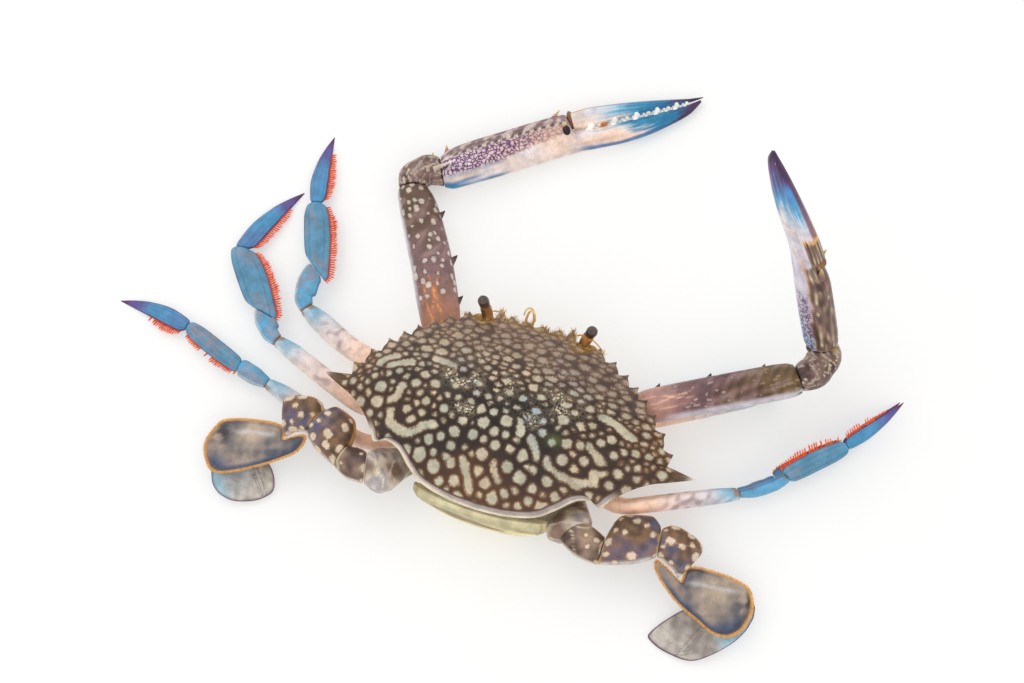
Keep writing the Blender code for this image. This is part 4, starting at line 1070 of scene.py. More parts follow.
def carapace_relief(plan):
    """How far the top stands above its plain dome."""
    rise = 0.9 * swell(plan, 30, 4, 16, 14) + 0.7 * swell(plan, 0, -16, 15, 9)
    rise += 0.7 * swell(plan, 4.5, 13, 6, 8) + 0.5 * swell(plan, 18, -20, 9, 7)
    rise -= 0.9 * groove(plan, ((5.0, -5.5), (10.0, -1.0), (9.0, 6.0), (12.0, 16.0)), 1.6)
    rise -= 0.6 * groove(plan, ((10.0, -1.0), (18.0, -6.0), (26.0, -16.0), (32.0, -22.0)), 1.9)
    rise -= 0.5 * groove(plan, ((0.0, 5.0), (6.5, 4.4)), 1.2)
    rise += 0.45 * groove(plan, ((73.0, 0.0), (58.0, -4.5), (42.0, -6.5), (28.0, -4.0)), 1.0)
    rise += 0.35 * groove(plan, ((0.0, -12.0), (7.0, -12.6), (13.0, -14.0)), 0.9)
    rise += 0.3 * groove(plan, ((0.0, -2.0), (6.5, -2.4)), 0.8)
    rise -= 0.45 * groove(plan, ((30.0, 22.0), (22.0, 26.6), (10.0, 28.6), (0.0, 29.0)), 1.1)
    return rise


def carapace_rings(margin):
    """The domed top, the rounded edge and the flat underside, from the top outwards. Also
    returns how many of the rings belong to the painted top."""
    out = margin[:, :2] - CENTRE
    far = np.linalg.norm(out, axis=1, keepdims=True)
    inner = CENTRE + out * (1 - margin[:, 3:] / far)
    z = margin[:, 2]
    rings = []
    for share in np.linspace(0.012, 1, TOP_ROWS) ** 0.85:
        plan = CENTRE + (inner - CENTRE) * share
        rise = (APEX - z - RIM_UP) * (1 - share**2.3) ** 0.9
        relief = carapace_relief(plan) * smoothstep(1.0, 0.9, share)
        rings.append(np.column_stack([plan, z + RIM_UP + rise + relief]))
    for turn in np.linspace(0, pi, 9)[1:-1]:
        plan = inner + (margin[:, :2] - inner) * sin(turn)
        drop = RIM_UP if turn < pi / 2 else RIM_DOWN
        rings.append(np.column_stack([plan, z + drop * cos(turn)]))
    top = len(rings) - 4
    rings.append(np.column_stack([inner, z - RIM_DOWN]))
    way = out / far
    flat_share = 0.45 + 0.2 * np.maximum(0, -way[:, 1]) ** 2 + 0.42 * np.maximum(0, way[:, 1]) ** 1.5
    from_inner = inner - CENTRE
    lip = np.column_stack([CENTRE + from_inner * 0.93, z - 2.8])
    flat = np.column_stack([CENTRE + from_inner * flat_share[:, None], np.full(len(z), UNDERSIDE)])
    for share in np.linspace(0, 1, 12):
        rings.append(lip + (flat - lip) * share)
    return np.array(rings), top


def make_carapace(material):
    margin = dense_margin()
    rings, top = carapace_rings(margin)
    points, faces = closed_rings(rings)
    points[len(rings) * len(margin)] = [*CENTRE, APEX + 0.35]
    distance = np.linalg.norm(rings[..., :2] - margin[None, :, :2], axis=-1)
    distance = np.concatenate([distance.ravel(), [50, 50]])
    rear_rim = np.tile(smoothstep(13, 19, margin[:, 1]), len(rings))
    rear_rim = np.concatenate([rear_rim, [0, 0]])
    paint = carapace_paint(points, distance, rear_rim)
    below = np.concatenate([np.repeat(np.arange(len(rings)) > top, len(margin)), [False, True]])
    noise = ripple(points, 12, 9)
    belly = blend(rgb(214, 204, 182), rgb(186, 176, 168), clamp(0.4 + 0.5 * noise))
    paint["tint"] = np.where(below[:, None], belly, paint["tint"])
    paint["spot"] = np.where(below, FAR, paint["spot"])
    dress("carapace", shape_of(points, faces, **paint), material)


def make_underside(material):
    """The thorax with its plates' seams, the folded abdomen and the mouth's plates."""
    side = catmull(np.array(THORAX_SIDE), 1.0)
    levels = np.linspace(0, 1, 12)
    rings = []
    middle = np.array([0.0, 4.0])
    for level in levels:
        z = THORAX_TOP * level
        front = MOUTH_Y[0] + (MOUTH_Y[1] - MOUTH_Y[0]) * level
        inset = 3.0 * (1 - smoothstep(0, 0.3, level)) + 0.25
        plan = side - middle
        plan = middle + plan * (1 - inset / np.linalg.norm(plan, axis=1, keepdims=True))
        start = straight([[0.0, front], [MOUTH_HALF_WIDTH, front], plan[0]], 1.2)[:-1]
        outline = resampled(np.vstack([start, plan]), 70)
        outline = np.vstack([outline, outline[-2:0:-1] * np.array([-1, 1])])
        rings.append(np.column_stack([outline, np.full(len(outline), z)]))
    floor = rings[0]
    for share in (0.9, 0.75, 0.55, 0.3, 0.1):
        plan = THORAX_CENTRE + (floor[:, :2] - THORAX_CENTRE) * share
        rings.insert(0, np.column_stack([plan, np.zeros(len(plan))]))
    rings = np.array(rings)
    for x, y in THORAX_SIDE[:-2]:
        seam = groove(rings[..., :2], ((x, y), (x * 0.35, y * 0.75 + 3.0)), 0.5)
        rings[..., 2] += 0.7 * seam * (rings[..., 2] < 1.0)
    points, faces = closed_rings(rings)
    noise = ripple(points, 9, 21)
    tint = blend(rgb(222, 212, 186), rgb(200, 196, 190), clamp(0.4 + 0.4 * noise))
    dress("thorax", shape_of(points, faces, tint, grain=0.15), material)
    make_abdomen(material)
    make_mouth(material)


def resampled(points, count):
    """The same open line with evenly spaced points."""
    at = distances_along(points)
    even = np.linspace(0, at[-1], count)
    return np.stack([np.interp(even, at, points[:, c]) for c in range(points.shape[1])], axis=-1)


def make_abdomen(material):
    """The male's narrow folded tail, from the rear margin down and forwards, with its seams."""
    table = np.array(ABDOMEN)
    at = distances_along(table[:, :2])
    even = np.linspace(0, at[-1], 150)
    y, z, half, thick = (eased(even, at, table[:, c]) for c in range(4))
    angles = 2 * pi * np.arange(96) / 96
    rings = []
    for k in range(len(even)):
        before, after = max(k - 1, 0), min(k + 1, len(even) - 1)
        along = unit((y[after] - y[before], z[after] - z[before]))
        out = np.array([-along[1], along[0]])
        across = np.sign(np.cos(angles)) * np.abs(np.cos(angles)) ** 0.55
        depth = np.sign(np.sin(angles)) * np.abs(np.sin(angles)) ** 0.55
        cut = hump(even[k], ABDOMEN_SEAMS, 0.45).sum()
        ridge = hump(even[k] - ABDOMEN_SEAMS, 1.5, 0.7).sum()
        height = thick[k] / 2 * (1 - 0.30 * cut + 0.10 * ridge)
        sideways = across * (half[k] - 0.15 - 0.5 * cut)
        level = y[k] + depth * height * out[0] - ABDOMEN_CURVE * sideways**2
        rings.append(np.column_stack([sideways, level, z[k] + depth * height * out[1]]))
    rings = above_floor(rings)
    points, faces = closed_rings(rings)
    distance = np.concatenate([np.repeat(even, len(angles)), [0, even[-1]]])
    side = np.concatenate([np.abs(rings[..., 0] / half[:, None]).ravel(), [0, 0]])
    noise = ripple(points * np.array([0.35, 1, 1]), 5, 22)
    streak = ripple(points * np.array([0.2, 2.2, 2.2]), 6, 23)
    tint = blend(rgb(226, 208, 142), rgb(234, 220, 172), clamp(0.5 + 0.6 * noise))
    olive = blend(rgb(174, 162, 122), rgb(212, 202, 164), clamp(0.5 + 0.6 * streak))
    tint = blend(tint, olive, smoothstep(7.4, 5.0, distance + 0.8 * noise))
    brown = smoothstep(0.25, 0.8, streak) * band(distance, 3.0, 8.0, 0.8)
    tint = blend(tint, rgb(112, 96, 84), 0.75 * brown)
    edge = hump(side, 0.93, 0.02) * smoothstep(14, 12, distance)
    lines = hump(distance[:, None], ABDOMEN_SEAMS, 0.35).sum(axis=1)
    tint = blend(tint, rgb(150, 132, 92), clamp(0.75 * edge + 0.7 * lines))
    dress("abdomen", shape_of(points, faces, tint, grain=0.2), material)


def make_mouth(material):
    """The two plates that cover the mouth."""
    rise = unit((0.0, MOUTH_Y[1] - MOUTH_Y[0], THORAX_TOP))
    outwards = unit((0.0, -THORAX_TOP, MOUTH_Y[1] - MOUTH_Y[0]))

    def paint(shares, angles, rings):
        return {"tint": blend(rgb(216, 204, 180), rgb(176, 150, 120), 0.5 + 0.5 * ripple(rings, 4, 24))}

    for side, sign in SIDES.items():
        foot = np.array([sign * 6.0, MOUTH_Y[0], 0.0]) + outwards * (GAP + 1.2)
        path = [foot + rise * 5.0, foot + rise * 18.6]
        inner = towards(np.array([-sign, 0.0, 0.0]))
        made = loft(path, MAXILLIPED, (rise, rise), inner, step=0.5)
        dress(f"maxilliped_{side}", lofted_shape(made, paint), material)


def make_eyes(cornea_material, feeler_material):
    """Short amber stalks that carry dark brown eyes."""
    amber = rgb(190, 130, 66)
    brown = rgb(96, 62, 38)

    def stalk_paint(shares, angles, rings):
        return {"tint": blend(amber, brown, clamp(0.45 + 0.6 * ripple(rings, 1.6, 31)))}

    def cornea_paint(shares, angles, rings):
        shade = ripple(rings, 1.6, 32)
        brown = blend(rgb(52, 36, 28), rgb(78, 56, 46), clamp(0.5 + 0.6 * shade))
        return {"tint": blend(brown, rgb(150, 100, 60), smoothstep(0.2, 0.0, shares))}

    for side, sign in SIDES.items():
        root, neck, crown = (np.array([sign * x, y, z]) for x, y, z in (EYE_ROOT, EYE_NECK, EYE_CROWN))
        lean = unit(neck - root)
        wide = towards(np.array([sign, 0.0, 0.0]))
        made = loft([root, neck], EYESTALK, (lean, lean), wide, step=0.2)
        dress(f"eyestalk_{side}", lofted_shape(made, stalk_paint), feeler_material)
        made = loft([neck, crown], CORNEA, (lean, lean), wide, step=0.15, corners=40)
        dress(f"eye_{side}", lofted_shape(made, cornea_paint), cornea_material)


def make_feelers(material):
    """The thin antennae and the hinged antennules, amber with pale rings."""
    amber = rgb(206, 152, 84)
    pale = rgb(232, 200, 140)

    def paint(shares, angles, rings):
        rings_of = 0.5 + 0.5 * np.sin(shares * 90)
        return {"tint": blend(amber, pale, clamp(0.4 * rings_of + 0.6 * shares))}

    for side, sign in SIDES.items():
        for name, table, plan, rounding in (
            ("antenna", ANTENNA, ANTENNA_PATH, 3.0),
            ("antennule", ANTENNULE, ANTENNULE_PATH[side], 1.6),
        ):
            path = [np.array([sign * x, y, z]) for x, y, z in plan]
            leans = (path_at(path, 0, rounding)[1], path_at(path, 1, rounding)[1])
            wide = towards(np.array(FEELER_WIDE))
            made = loft(path, table, leans, wide, rounding, step=0.3, corners=12)
            dress(f"{name}_{side}", lofted_shape(made, paint), material)


FRONT_HAIR_COUNT = 520


def front_hairs(sign):
    """Short amber hairs along one half of the carapace's front."""
    rng = np.random.default_rng(35)
    hairs = []
    for _ in range(FRONT_HAIR_COUNT):
        place = rng.uniform(0, 1)
        x = 2.0 + 26.0 * place
        y = np.interp(x, [p[0] for p in FRONT_MARGIN], [p[1] for p in FRONT_MARGIN])
        z = MARGIN_FRONT_Z - rng.uniform(0.2, 1.6)
        base = np.array([sign * x, y + 1.2, z])
        way = unit((sign * rng.normal(0, 0.45), -1.0, rng.uniform(0.1, 0.9)))
        length = rng.uniform(1.8, 3.6)
        tint = blend(rgb(150, 104, 52), rgb(232, 190, 116), rng.uniform(0, 1))
        bend = np.array([0.0, 0.0, rng.uniform(-0.3, 0.5)])
        hairs.append((base, way * length, bend, tint, (place, rng.uniform(-1, 1))))
    return hair_shape(hairs, 0.11)


def make_orbits(material, hair_material):
    """The lumpy brown sockets round the eyestalks' roots, with short amber hairs along the front."""
    axes = np.eye(3)
    for side, sign in SIDES.items():
        lumps = []
        for x, y, z, wide, deep, high in SOCKET_LUMPS:
            lump = ball(np.array([sign * x, y, z]), (wide, deep, high), axes, rgb(150, 108, 62), 14, 24)
            # The noise that raises the lumps also colours them: darker in the dips as painted shade,
            # paler on the tops as painted light.
            rough = ripple(lump["points"], 1.6, 33)
            lump["points"] = lump["points"] + rough[:, None] * 0.3 * axes[2]
            lump["tint"] = blend(rgb(92, 64, 40), rgb(206, 160, 96), clamp(0.5 + 0.7 * rough))
            lumps.append(lump)
        add_piece(f"shell_socket_{side}", joined(lumps), material)
        add_fringe(f"fringe_front_{side}", [front_hairs(sign)], hair_material)


# Claws

WHITE = rgb(238, 234, 228)
CREAM = rgb(226, 206, 184)
PURPLE = rgb(72, 48, 82)
TIP_PURPLE = rgb(62, 40, 66)
AMBER = rgb(206, 150, 76)
# Where the right hand's dark sleeve has cream lines, in degrees round it
SLEEVE_LINES = (-52, -30, -4, 22, 42)
# Low keels along the palm: degrees round it and a share of its thickness
KEELS = ((18, 0.04), (46, 0.05), (75, 0.06), (112, 0.04), (-30, 0.05), (-75, 0.04), (150, 0.03))
# A spine's root and tip: along the hand, to the thumb's side and outwards
HAND_SPINES = {
    side: (
        ((44.8, 7.2, 0.0), (51.4, 12.6 * CLAWS[side]["slim"], 0.0)),
        ((49.0, 3.2, 2.0), (52.6, 4.0, 6.4)),
        ((3.4, 5.4, 0.0), (4.2, 10.6, 0.6)),
    )
    for side in SIDES
}
MERUS_LOOKS = {
    "left": {
        "ground": rgb(128, 100, 100),
        "far": rgb(98, 76, 60),
        "root": rgb(170, 118, 94),
        "vein": rgb(236, 150, 66),
        "far_mark": rgb(206, 192, 176),
        "mark_share": 0.8,
        "spots": 52,
        "radii": (0.45, 1.05),
        "stretch": 0.7,
    },
    "right": {
        "ground": rgb(118, 84, 88),
        "far": rgb(106, 82, 52),
        "root": rgb(196, 150, 138),
        "vein": rgb(230, 180, 150),
        "far_mark": rgb(186, 158, 108),
        "mark_share": 0.38,
        "spots": 44,
        "radii": (0.3, 0.5),
        "stretch": 2.6,
    },
}


def outer_sign(side):
    """The hand's outer face is below its axis's thickness way on the left, above on the right."""
    return -1 if side == "left" else 1


def around(angles, side):
    """The angle from the thumb's side towards the hand's outer face, -180 to 180 degrees."""
    return np.degrees(np.arctan2(outer_sign(side) * np.sin(angles), np.cos(angles)))


def streaks(distance, at, seed, length=9.0, width=16.0):
    """Smooth noise drawn out along a hand, from the distance and the angle round it."""
    flat = np.stack([distance / length, at / width, np.zeros_like(at)], axis=-1)
    return ripple(flat, 1.0, seed)


def left_palm_tint(distance, at, rings):
    """The palm and fixed finger whose outer face is seen: mauve above a beaded keel, a purple
    network below it, a pale lower face and blue fingers with purple tips."""
    fine = ripple(rings, 2.0, 42)
    long = streaks(distance, at, 43)
    thin = streaks(distance, at, 44, 7.0, 6.0)
    tint = blend(rgb(234, 208, 190), rgb(226, 214, 216), clamp(0.4 + 0.6 * long))
    top = band(at, -78, 60, 5) * smoothstep(58, 52, distance)
    mottled = blend(rgb(122, 94, 94), rgb(206, 184, 176), smoothstep(-0.4, 0.8, fine + 0.5 * thin))
    tint = blend(tint, mottled, top)
    low_edge = 122 - 22 * smoothstep(12, 52, distance)
    web = band(at, 66, low_edge, 4) * smoothstep(57, 50, distance)
    tint = blend(tint, ramp(distance, (10, rgb(206, 188, 196)), (44, rgb(214, 172, 150))), web * 0.85)
    line = hump(at - low_edge, 5, 4) * smoothstep(34, 14, distance)
    tint = blend(tint, rgb(84, 144, 190), line * 0.8)
    wrist = smoothstep(126, 150, at + 10 * long) * smoothstep(28, 8, distance + 9 * long)
    tint = blend(tint, rgb(62, 132, 178), wrist)
    tint = blend(tint, WHITE, 0.7 * smoothstep(-100, -140, at))
    spread = distance + 6 * long + 3 * thin
    blue = ramp(spread, (66, rgb(160, 194, 210)), (76, rgb(58, 146, 184)), (92, rgb(34, 112, 154)))
    reach = smoothstep(66, 76, spread) * smoothstep(118, 92, at + 10 * thin)
    reach = np.maximum(reach, smoothstep(80, 88, spread))
    tint = blend(tint, blue, clamp(reach))
    tint = blend(tint, rgb(236, 186, 156), 0.75 * band(at, 108, 130, 9) * band(spread, 60, 82, 5))
    lower = smoothstep(134, 152, at + 6 * long) * smoothstep(50, 60, distance)
    tint = blend(tint, rgb(58, 104, 158), lower * 0.9)
    tint = blend(tint, PURPLE, smoothstep(94, 101, distance + 4 * thin + 5 * smoothstep(120, 160, at)))
    beads = smoothstep(-0.3, 0.3, np.sin(distance * 2 * pi / 3.4 + 1.4 * long))
    keel = hump(at, 63, 4.5) * smoothstep(2, 8, distance) * smoothstep(56, 52, distance)
    tint = blend(tint, blend(rgb(52, 42, 40), rgb(212, 202, 182), beads), clamp(keel * 1.2))
    return tint, web * (1 - 0.45 * smoothstep(28, 48, distance)) + 0.25 * top


def right_palm_tint(distance, at, rings):
    """The palm seen from its upper side: dark with thin cream lines, and pale lilac beside it."""
    fine = ripple(rings, 2.0, 45)
    long = streaks(distance, at, 46)
    thin = streaks(distance, at, 47, 8.0, 5.0)
    tint = blend(rgb(222, 216, 224), rgb(198, 192, 210), clamp(0.5 + 0.6 * long))
    web = 1.4 * band(at, 66, 112, 8) * smoothstep(40, 24, distance + 4 * fine)
    tint = blend(tint, rgb(132, 188, 220), smoothstep(22, 6, distance + 4 * long) * 0.9)
    spread = distance + 4 * long + 2 * thin
    fingers = ramp(
        spread, (60, rgb(214, 210, 220)), (68, rgb(236, 218, 214)), (75, rgb(186, 206, 224)),
        (81, rgb(92, 166, 208)), (88, rgb(96, 144, 192)), (93, rgb(108, 78, 132)), (104, TIP_PURPLE),
    )
    tint = blend(tint, fingers, smoothstep(58, 64, distance))
    tint = blend(tint, rgb(34, 112, 166), 0.9 * band(at, 88, 102, 4) * band(distance, 73, 88, 3))
    tint = blend(tint, rgb(250, 246, 246), 0.7 * band(at, 104, 114, 4) * band(distance, 76, 92, 4))
    edge = at + 5 * long + 3 * fine
    end = 57 - 6 * smoothstep(10, 40, at)
    dark = band(edge, -84, 62, 3) * smoothstep(end, end - 1.5, distance)
    shell = blend(rgb(80, 58, 50), rgb(134, 104, 94), clamp(0.5 + 0.5 * thin + 0.5 * fine))
    tint = blend(tint, shell, dark)
    for line in SLEEVE_LINES:
        cream = hump(at + 2 * fine + 4 * long, line, 2.3) * smoothstep(-1.2, -0.3, long + 0.6 * fine)
        tint = blend(tint, rgb(216, 200, 158), 0.9 * cream * dark)
    rim = hump(edge, 65, 4.5) * smoothstep(57, 55, distance)
    tint = blend(tint, rgb(226, 176, 132), clamp(rim) * 0.7)
    return tint, web


def hand_section(side):
    """Keels along the palm, which fade on the fingers."""

    def section(angles):
        at = around(angles, side)
        size = np.ones_like(angles)
        for place, height in KEELS:
            size += height * hump(at, place, 8)
        return np.cos(angles) * size, np.sin(angles) * size

    return section


def palm_paint(side):
    """The paint of the palm and fixed finger: the two hands show different faces."""

    def paint(shares, angles, rings):
        at = around(angles, side)
        tinted = left_palm_tint if side == "left" else right_palm_tint
        tint, net = tinted(shares * HAND_LENGTH, at, rings)
        return {"tint": tint, "net": net, "grain": 0.35}

    return paint


def finger_paint(side):
    """The movable finger: pale at its hinge, blue, and purple at its tip."""

    def paint(shares, angles, rings):
        at = around(angles, side)
        distance = FINGER[0][0] + shares * (FINGER[-1][0] - FINGER[0][0])
        long = streaks(distance, at, 48)
        thin = streaks(distance, at, 49, 8.0, 5.0)
        spread = distance + 4 * long + 3 * thin
        tint = ramp(
            spread, (55, rgb(232, 206, 188)), (64, rgb(212, 206, 212)), (71, rgb(156, 192, 210)),
            (79, rgb(56, 142, 182)), (93, rgb(40, 108, 154)), (99, PURPLE), (104, TIP_PURPLE),
        )
        if side == "right":
            tint = ramp(
                spread, (66, rgb(230, 214, 214)), (75, rgb(190, 206, 224)), (80, rgb(96, 168, 210)),
                (88, rgb(72, 126, 186)), (92, rgb(98, 70, 124)), (100, TIP_PURPLE),
            )
        tint = blend(tint, rgb(238, 214, 196), 0.8 * band(at, 132, 180, 8) * smoothstep(78, 68, spread))
        upper = band(at + 5 * thin, -70, 34 if side == "left" else 4, 8)
        mauve = ramp(distance, (56, rgb(166, 106, 88)), (74, rgb(124, 84, 100)), (96, PURPLE))
        tint = blend(tint, mauve, upper * 0.95)
        if side == "right":
            edge = distance + 1.2 * thin
            shell = blend(rgb(80, 58, 50), rgb(134, 104, 94), clamp(0.5 + 0.6 * thin))
            for line in SLEEVE_LINES:
                shell = blend(shell, rgb(214, 198, 156), 0.8 * hump(at + 4 * long, line, 2.2))
            sleeve = band(at, -84, 72, 4) * smoothstep(66.5, 65.5, edge)
            tint = blend(tint, shell, sleeve)
            tint = blend(tint, rgb(222, 168, 112), band(edge, 65.2, 67.0, 0.5) * band(at, -84, 76, 4))
        return {"tint": tint, "grain": 0.2}

    return paint


def hand_point(wrist, along, thumb, flex, distance, across):
    """A point of the hand's plane: along its axis, then to the movable finger's side."""
    beyond = max(0.0, distance - FINGER_HINGE)
    bend = np.cross(along, thumb) * flex[0] + thumb * flex[1]
    return wrist + along * distance + thumb * across + bend * beyond


def hand_rings(side, wrist, along, arriving, table):
    """A smooth version of the palm or the movable finger."""
    claw = CLAWS[side]
    thumb = towards(np.array(claw["thumb_side"]))(along)
    start_lean = mitre(arriving, along)
    stations, uppers, lowers, thicks = (np.array(column, float) for column in zip(*table))
    first, last = stations[0], stations[-1]
    places = np.arange(first + HAND_STEP, last - HAND_STEP / 2, HAND_STEP)
    places = np.concatenate([[first, first + 0.25], places, [last]])
    angles = 2 * pi * (np.arange(HAND_CORNERS) + 0.5) / HAND_CORNERS
    section = hand_section(side)
    rings = []
    for distance in places:
        upper = float(eased(distance, stations, uppers))
        lower = float(eased(distance, stations, lowers))
        thick = float(eased(distance, stations, thicks))
        if first == 0 and upper > 2:
            upper *= 1 - (1 - claw["slim"]) * float(smoothstep(SLIM_FROM - 4, SLIM_FROM + 3, distance))
        lean = unit(along + (start_lean - along) * max(0.0, 1 - distance / 20))
        centre = hand_point(wrist, along, thumb, claw["flex"], distance, 0.0)
        if distance < 1:
            centre = centre + along * (GAP / 2) / (along @ start_lean)
        across, rise = section(angles)
        across = (upper - lower) / 2 + (upper + lower) / 2 * across
        rise = rise * thick * (0.93 if distance == first else 1.0)
        rings.append(leaning_ring(centre, along, thumb, lean, across, rise))
    shares = places / HAND_LENGTH if first == 0 else (places - first) / (last - first)
    return with_grids(above_floor(rings), shares, angles)


def hand_teeth(name, side, wrist, along, thumb):
    """White blunt teeth along the closing edges, in groups of a large one and two small."""
    upper_edge = name == "palm"
    table = PALM if upper_edge else FINGER
    flex = CLAWS[side]["flex"]
    stations = [row[0] for row in table]
    edges = [row[1] if upper_edge else -row[2] for row in table]
    teeth = []
    way = 1 if upper_edge else -1
    distance = FINGER_HINGE + (5.2 if upper_edge else 6.6)
    number = 0
    while distance < HAND_LENGTH - 4:
        share = (distance - FINGER_HINGE) / (HAND_LENGTH - FINGER_HINGE)
        size = (1.5, 0.95, 1.2, 0.8)[number % 4] * (1.2 - 0.5 * share)
        size *= 1.0 if side == "left" else 0.55
        edge = np.interp(distance, stations, edges)
        base = hand_point(wrist, along, thumb, flex, distance, edge - way * 0.8)
        tip = hand_point(wrist, along, thumb, flex, distance + 0.2, edge + way * 1.35 * size)
        colour = rgb(196, 128, 84) if number % 5 == 2 and share < 0.35 else rgb(246, 244, 240)
        teeth.append(cone(base, tip, 1.35 * size, colour, corners=10))
        distance += 1.55 * size + 0.5
        number += 1
    return teeth


def hand_spines(side, wrist, along, thumb):
    """The palm's spines, one at the wrist and two before the movable finger."""
    face = np.cross(along, thumb)
    flex = CLAWS[side]["flex"]
    spines = []
    for start, end in HAND_SPINES[side]:
        root, tip = (
            hand_point(wrist, along, thumb, flex, distance, across) + face * out
            for distance, across, out in (start, end)
        )
        spines.append(cone(root, tip, 1.7, rgb(128, 96, 88), rgb(214, 176, 120)))
    return spines


def merus_paint(side):
    """Orange and veined at the root, mauve with cream spots, browner at the far end."""
    look = MERUS_LOOKS[side]

    def paint(shares, angles, rings):
        up = SIDES[side] * np.sin(angles)
        lead = np.cos(angles)
        noise = ripple(rings, 8, 51)
        fine = ripple(rings, 2.2, 50)
        root = smoothstep(0.36, 0.12, shares + 0.06 * noise)
        tint = blend(look["ground"], look["far"], smoothstep(0.45, 0.85, shares + 0.15 * noise))
        if side == "right":
            mottled = smoothstep(0.0, 0.8, -fine - 0.5 * noise) * smoothstep(0.3, 0.6, shares)
            tint = blend(tint, rgb(58, 44, 34), 0.65 * mottled)
        tint = blend(tint, rgb(160, 132, 128), 0.5 * smoothstep(0.0, 0.8, fine + 0.5 * noise))
        tint = blend(tint, look["root"], root * 0.85)
        for place, turn in ((-0.4, 0.15), (-0.3, 2.6), (0.2, -0.8)):
            vein = hump(lead - turn * (shares - 0.1) - 0.12 * noise - 0.05 * fine, place, 0.03)
            vein = 0.85 * vein * smoothstep(0.42, 0.3, shares) * (up > 0)
            tint = blend(tint, look["vein"], vein)
        pale = smoothstep(-0.74, -0.93, lead) * smoothstep(0.1, 0.3, shares)
        tint = blend(tint, rgb(214, 208, 216), 0.8 * pale)
        tint = blend(tint, WHITE, smoothstep(-0.05, -0.45, up))
        keep = (up > 0.12) & (shares > 0.24) & (lead > -0.8)
        spots = scattered_spots(rings, look["spots"], look["radii"], 52, keep, 0.9, look["stretch"])
        spot = spot_distance(rings, spots) + 0.1 * fine
        mark = blend(rgb(218, 202, 192), look["far_mark"], smoothstep(0.45, 0.8, shares))
        mark = blend(tint, mark, look["mark_share"])
        tint = blend(tint, rgb(70, 52, 46), 0.45 * smoothstep(0.9, 0.1, spot) * (spot > 0))
        rim = 0.8 * smoothstep(0.955, 0.985, shares) * smoothstep(-0.2, 0.6, noise + fine)
        tint = blend(tint, rgb(44, 34, 30), rim)
        return {"tint": tint, "mark": mark, "spot": spot, "grain": 0.3}

    return paint


def carpus_paint(shares, angles, rings):
    """Dark brown with many pale flecks drawn out along the piece."""
    noise = ripple(rings, 5, 53)
    fine = ripple(rings, 1.7, 55)
    tint = blend(rgb(72, 54, 46), rgb(140, 114, 100), clamp(0.45 + 0.5 * noise + 0.3 * fine))
    keep = np.ones(shares.shape, bool)
    spots = scattered_spots(rings, 150, (0.25, 0.6), 54, keep, clear=0.35, stretch=2.6)
    spot = spot_distance(rings, spots) + 0.2 * fine
    mark = blend(rgb(206, 188, 156), rgb(176, 158, 146), clamp(0.5 + 0.6 * noise))
    rims = clamp(smoothstep(0.05, 0.015, shares) + smoothstep(0.95, 0.985, shares))
    tint = blend(tint, rgb(38, 30, 28), 0.7 * rims)
    return {"tint": tint, "mark": mark, "spot": spot, "net": 0.2, "grain": 0.7}


def base_paint(shares, angles, rings):
    """Orange mottled with cream."""
    noise = ripple(rings, 6, 56)
    return {"tint": blend(rgb(206, 150, 112), CREAM, clamp(0.4 + 0.5 * noise)), "grain": 0.2}


def hand_shapes(name, side, wrist, along, arriving):
    """The palm with its fixed finger, or the movable finger, with all that stands on it."""
    table, paint = (PALM, palm_paint(side)) if name == "palm" else (FINGER, finger_paint(side))
    thumb = towards(np.array(CLAWS[side]["thumb_side"]))(along)
    flex = CLAWS[side]["flex"]
    shapes = [lofted_shape(hand_rings(side, wrist, along, arriving, table), paint)]
    shapes += hand_teeth(name, side, wrist, along, thumb)
    if name == "palm":
        shapes += hand_spines(side, wrist, along, thumb)
        face = np.cross(thumb, along) * outer_sign(side)
        axes = (along, thumb, face)
        seat = hand_point(wrist, along, thumb, flex, 54.4, 7.0)
        shapes.append(ball(seat, (1.5, 4.0, 2.6), axes, rgb(132, 92, 64)))
        if side == "left":
            knob = hand_point(wrist, along, thumb, flex, 51.6, 1.6) + face * 4.0
            shapes.append(ball(knob, (1.7, 2.4, 1.3), axes, rgb(34, 26, 24)))
    return shapes


def carpus_spines(side, wrist, outer, along):
    """The large spine at the thumb's side and the small one outside."""
    claw = CLAWS[side]
    thumb = towards(np.array(claw["thumb_side"]))(along)
    root = wrist - along * 4.4 + thumb * 2.6
    tip = wrist + thumb * 9.4 - along * 1.6
    inner = cone(root, tip, 2.1, rgb(110, 84, 70), rgb(224, 190, 140))
    root, tip = (
        wrist + outer * outwards + along * onwards + UP * upwards
        for outwards, onwards, upwards in claw["carpus_spine"]
    )
    return [inner, cone(root, tip, 1.2, rgb(196, 178, 160), rgb(244, 238, 226))]


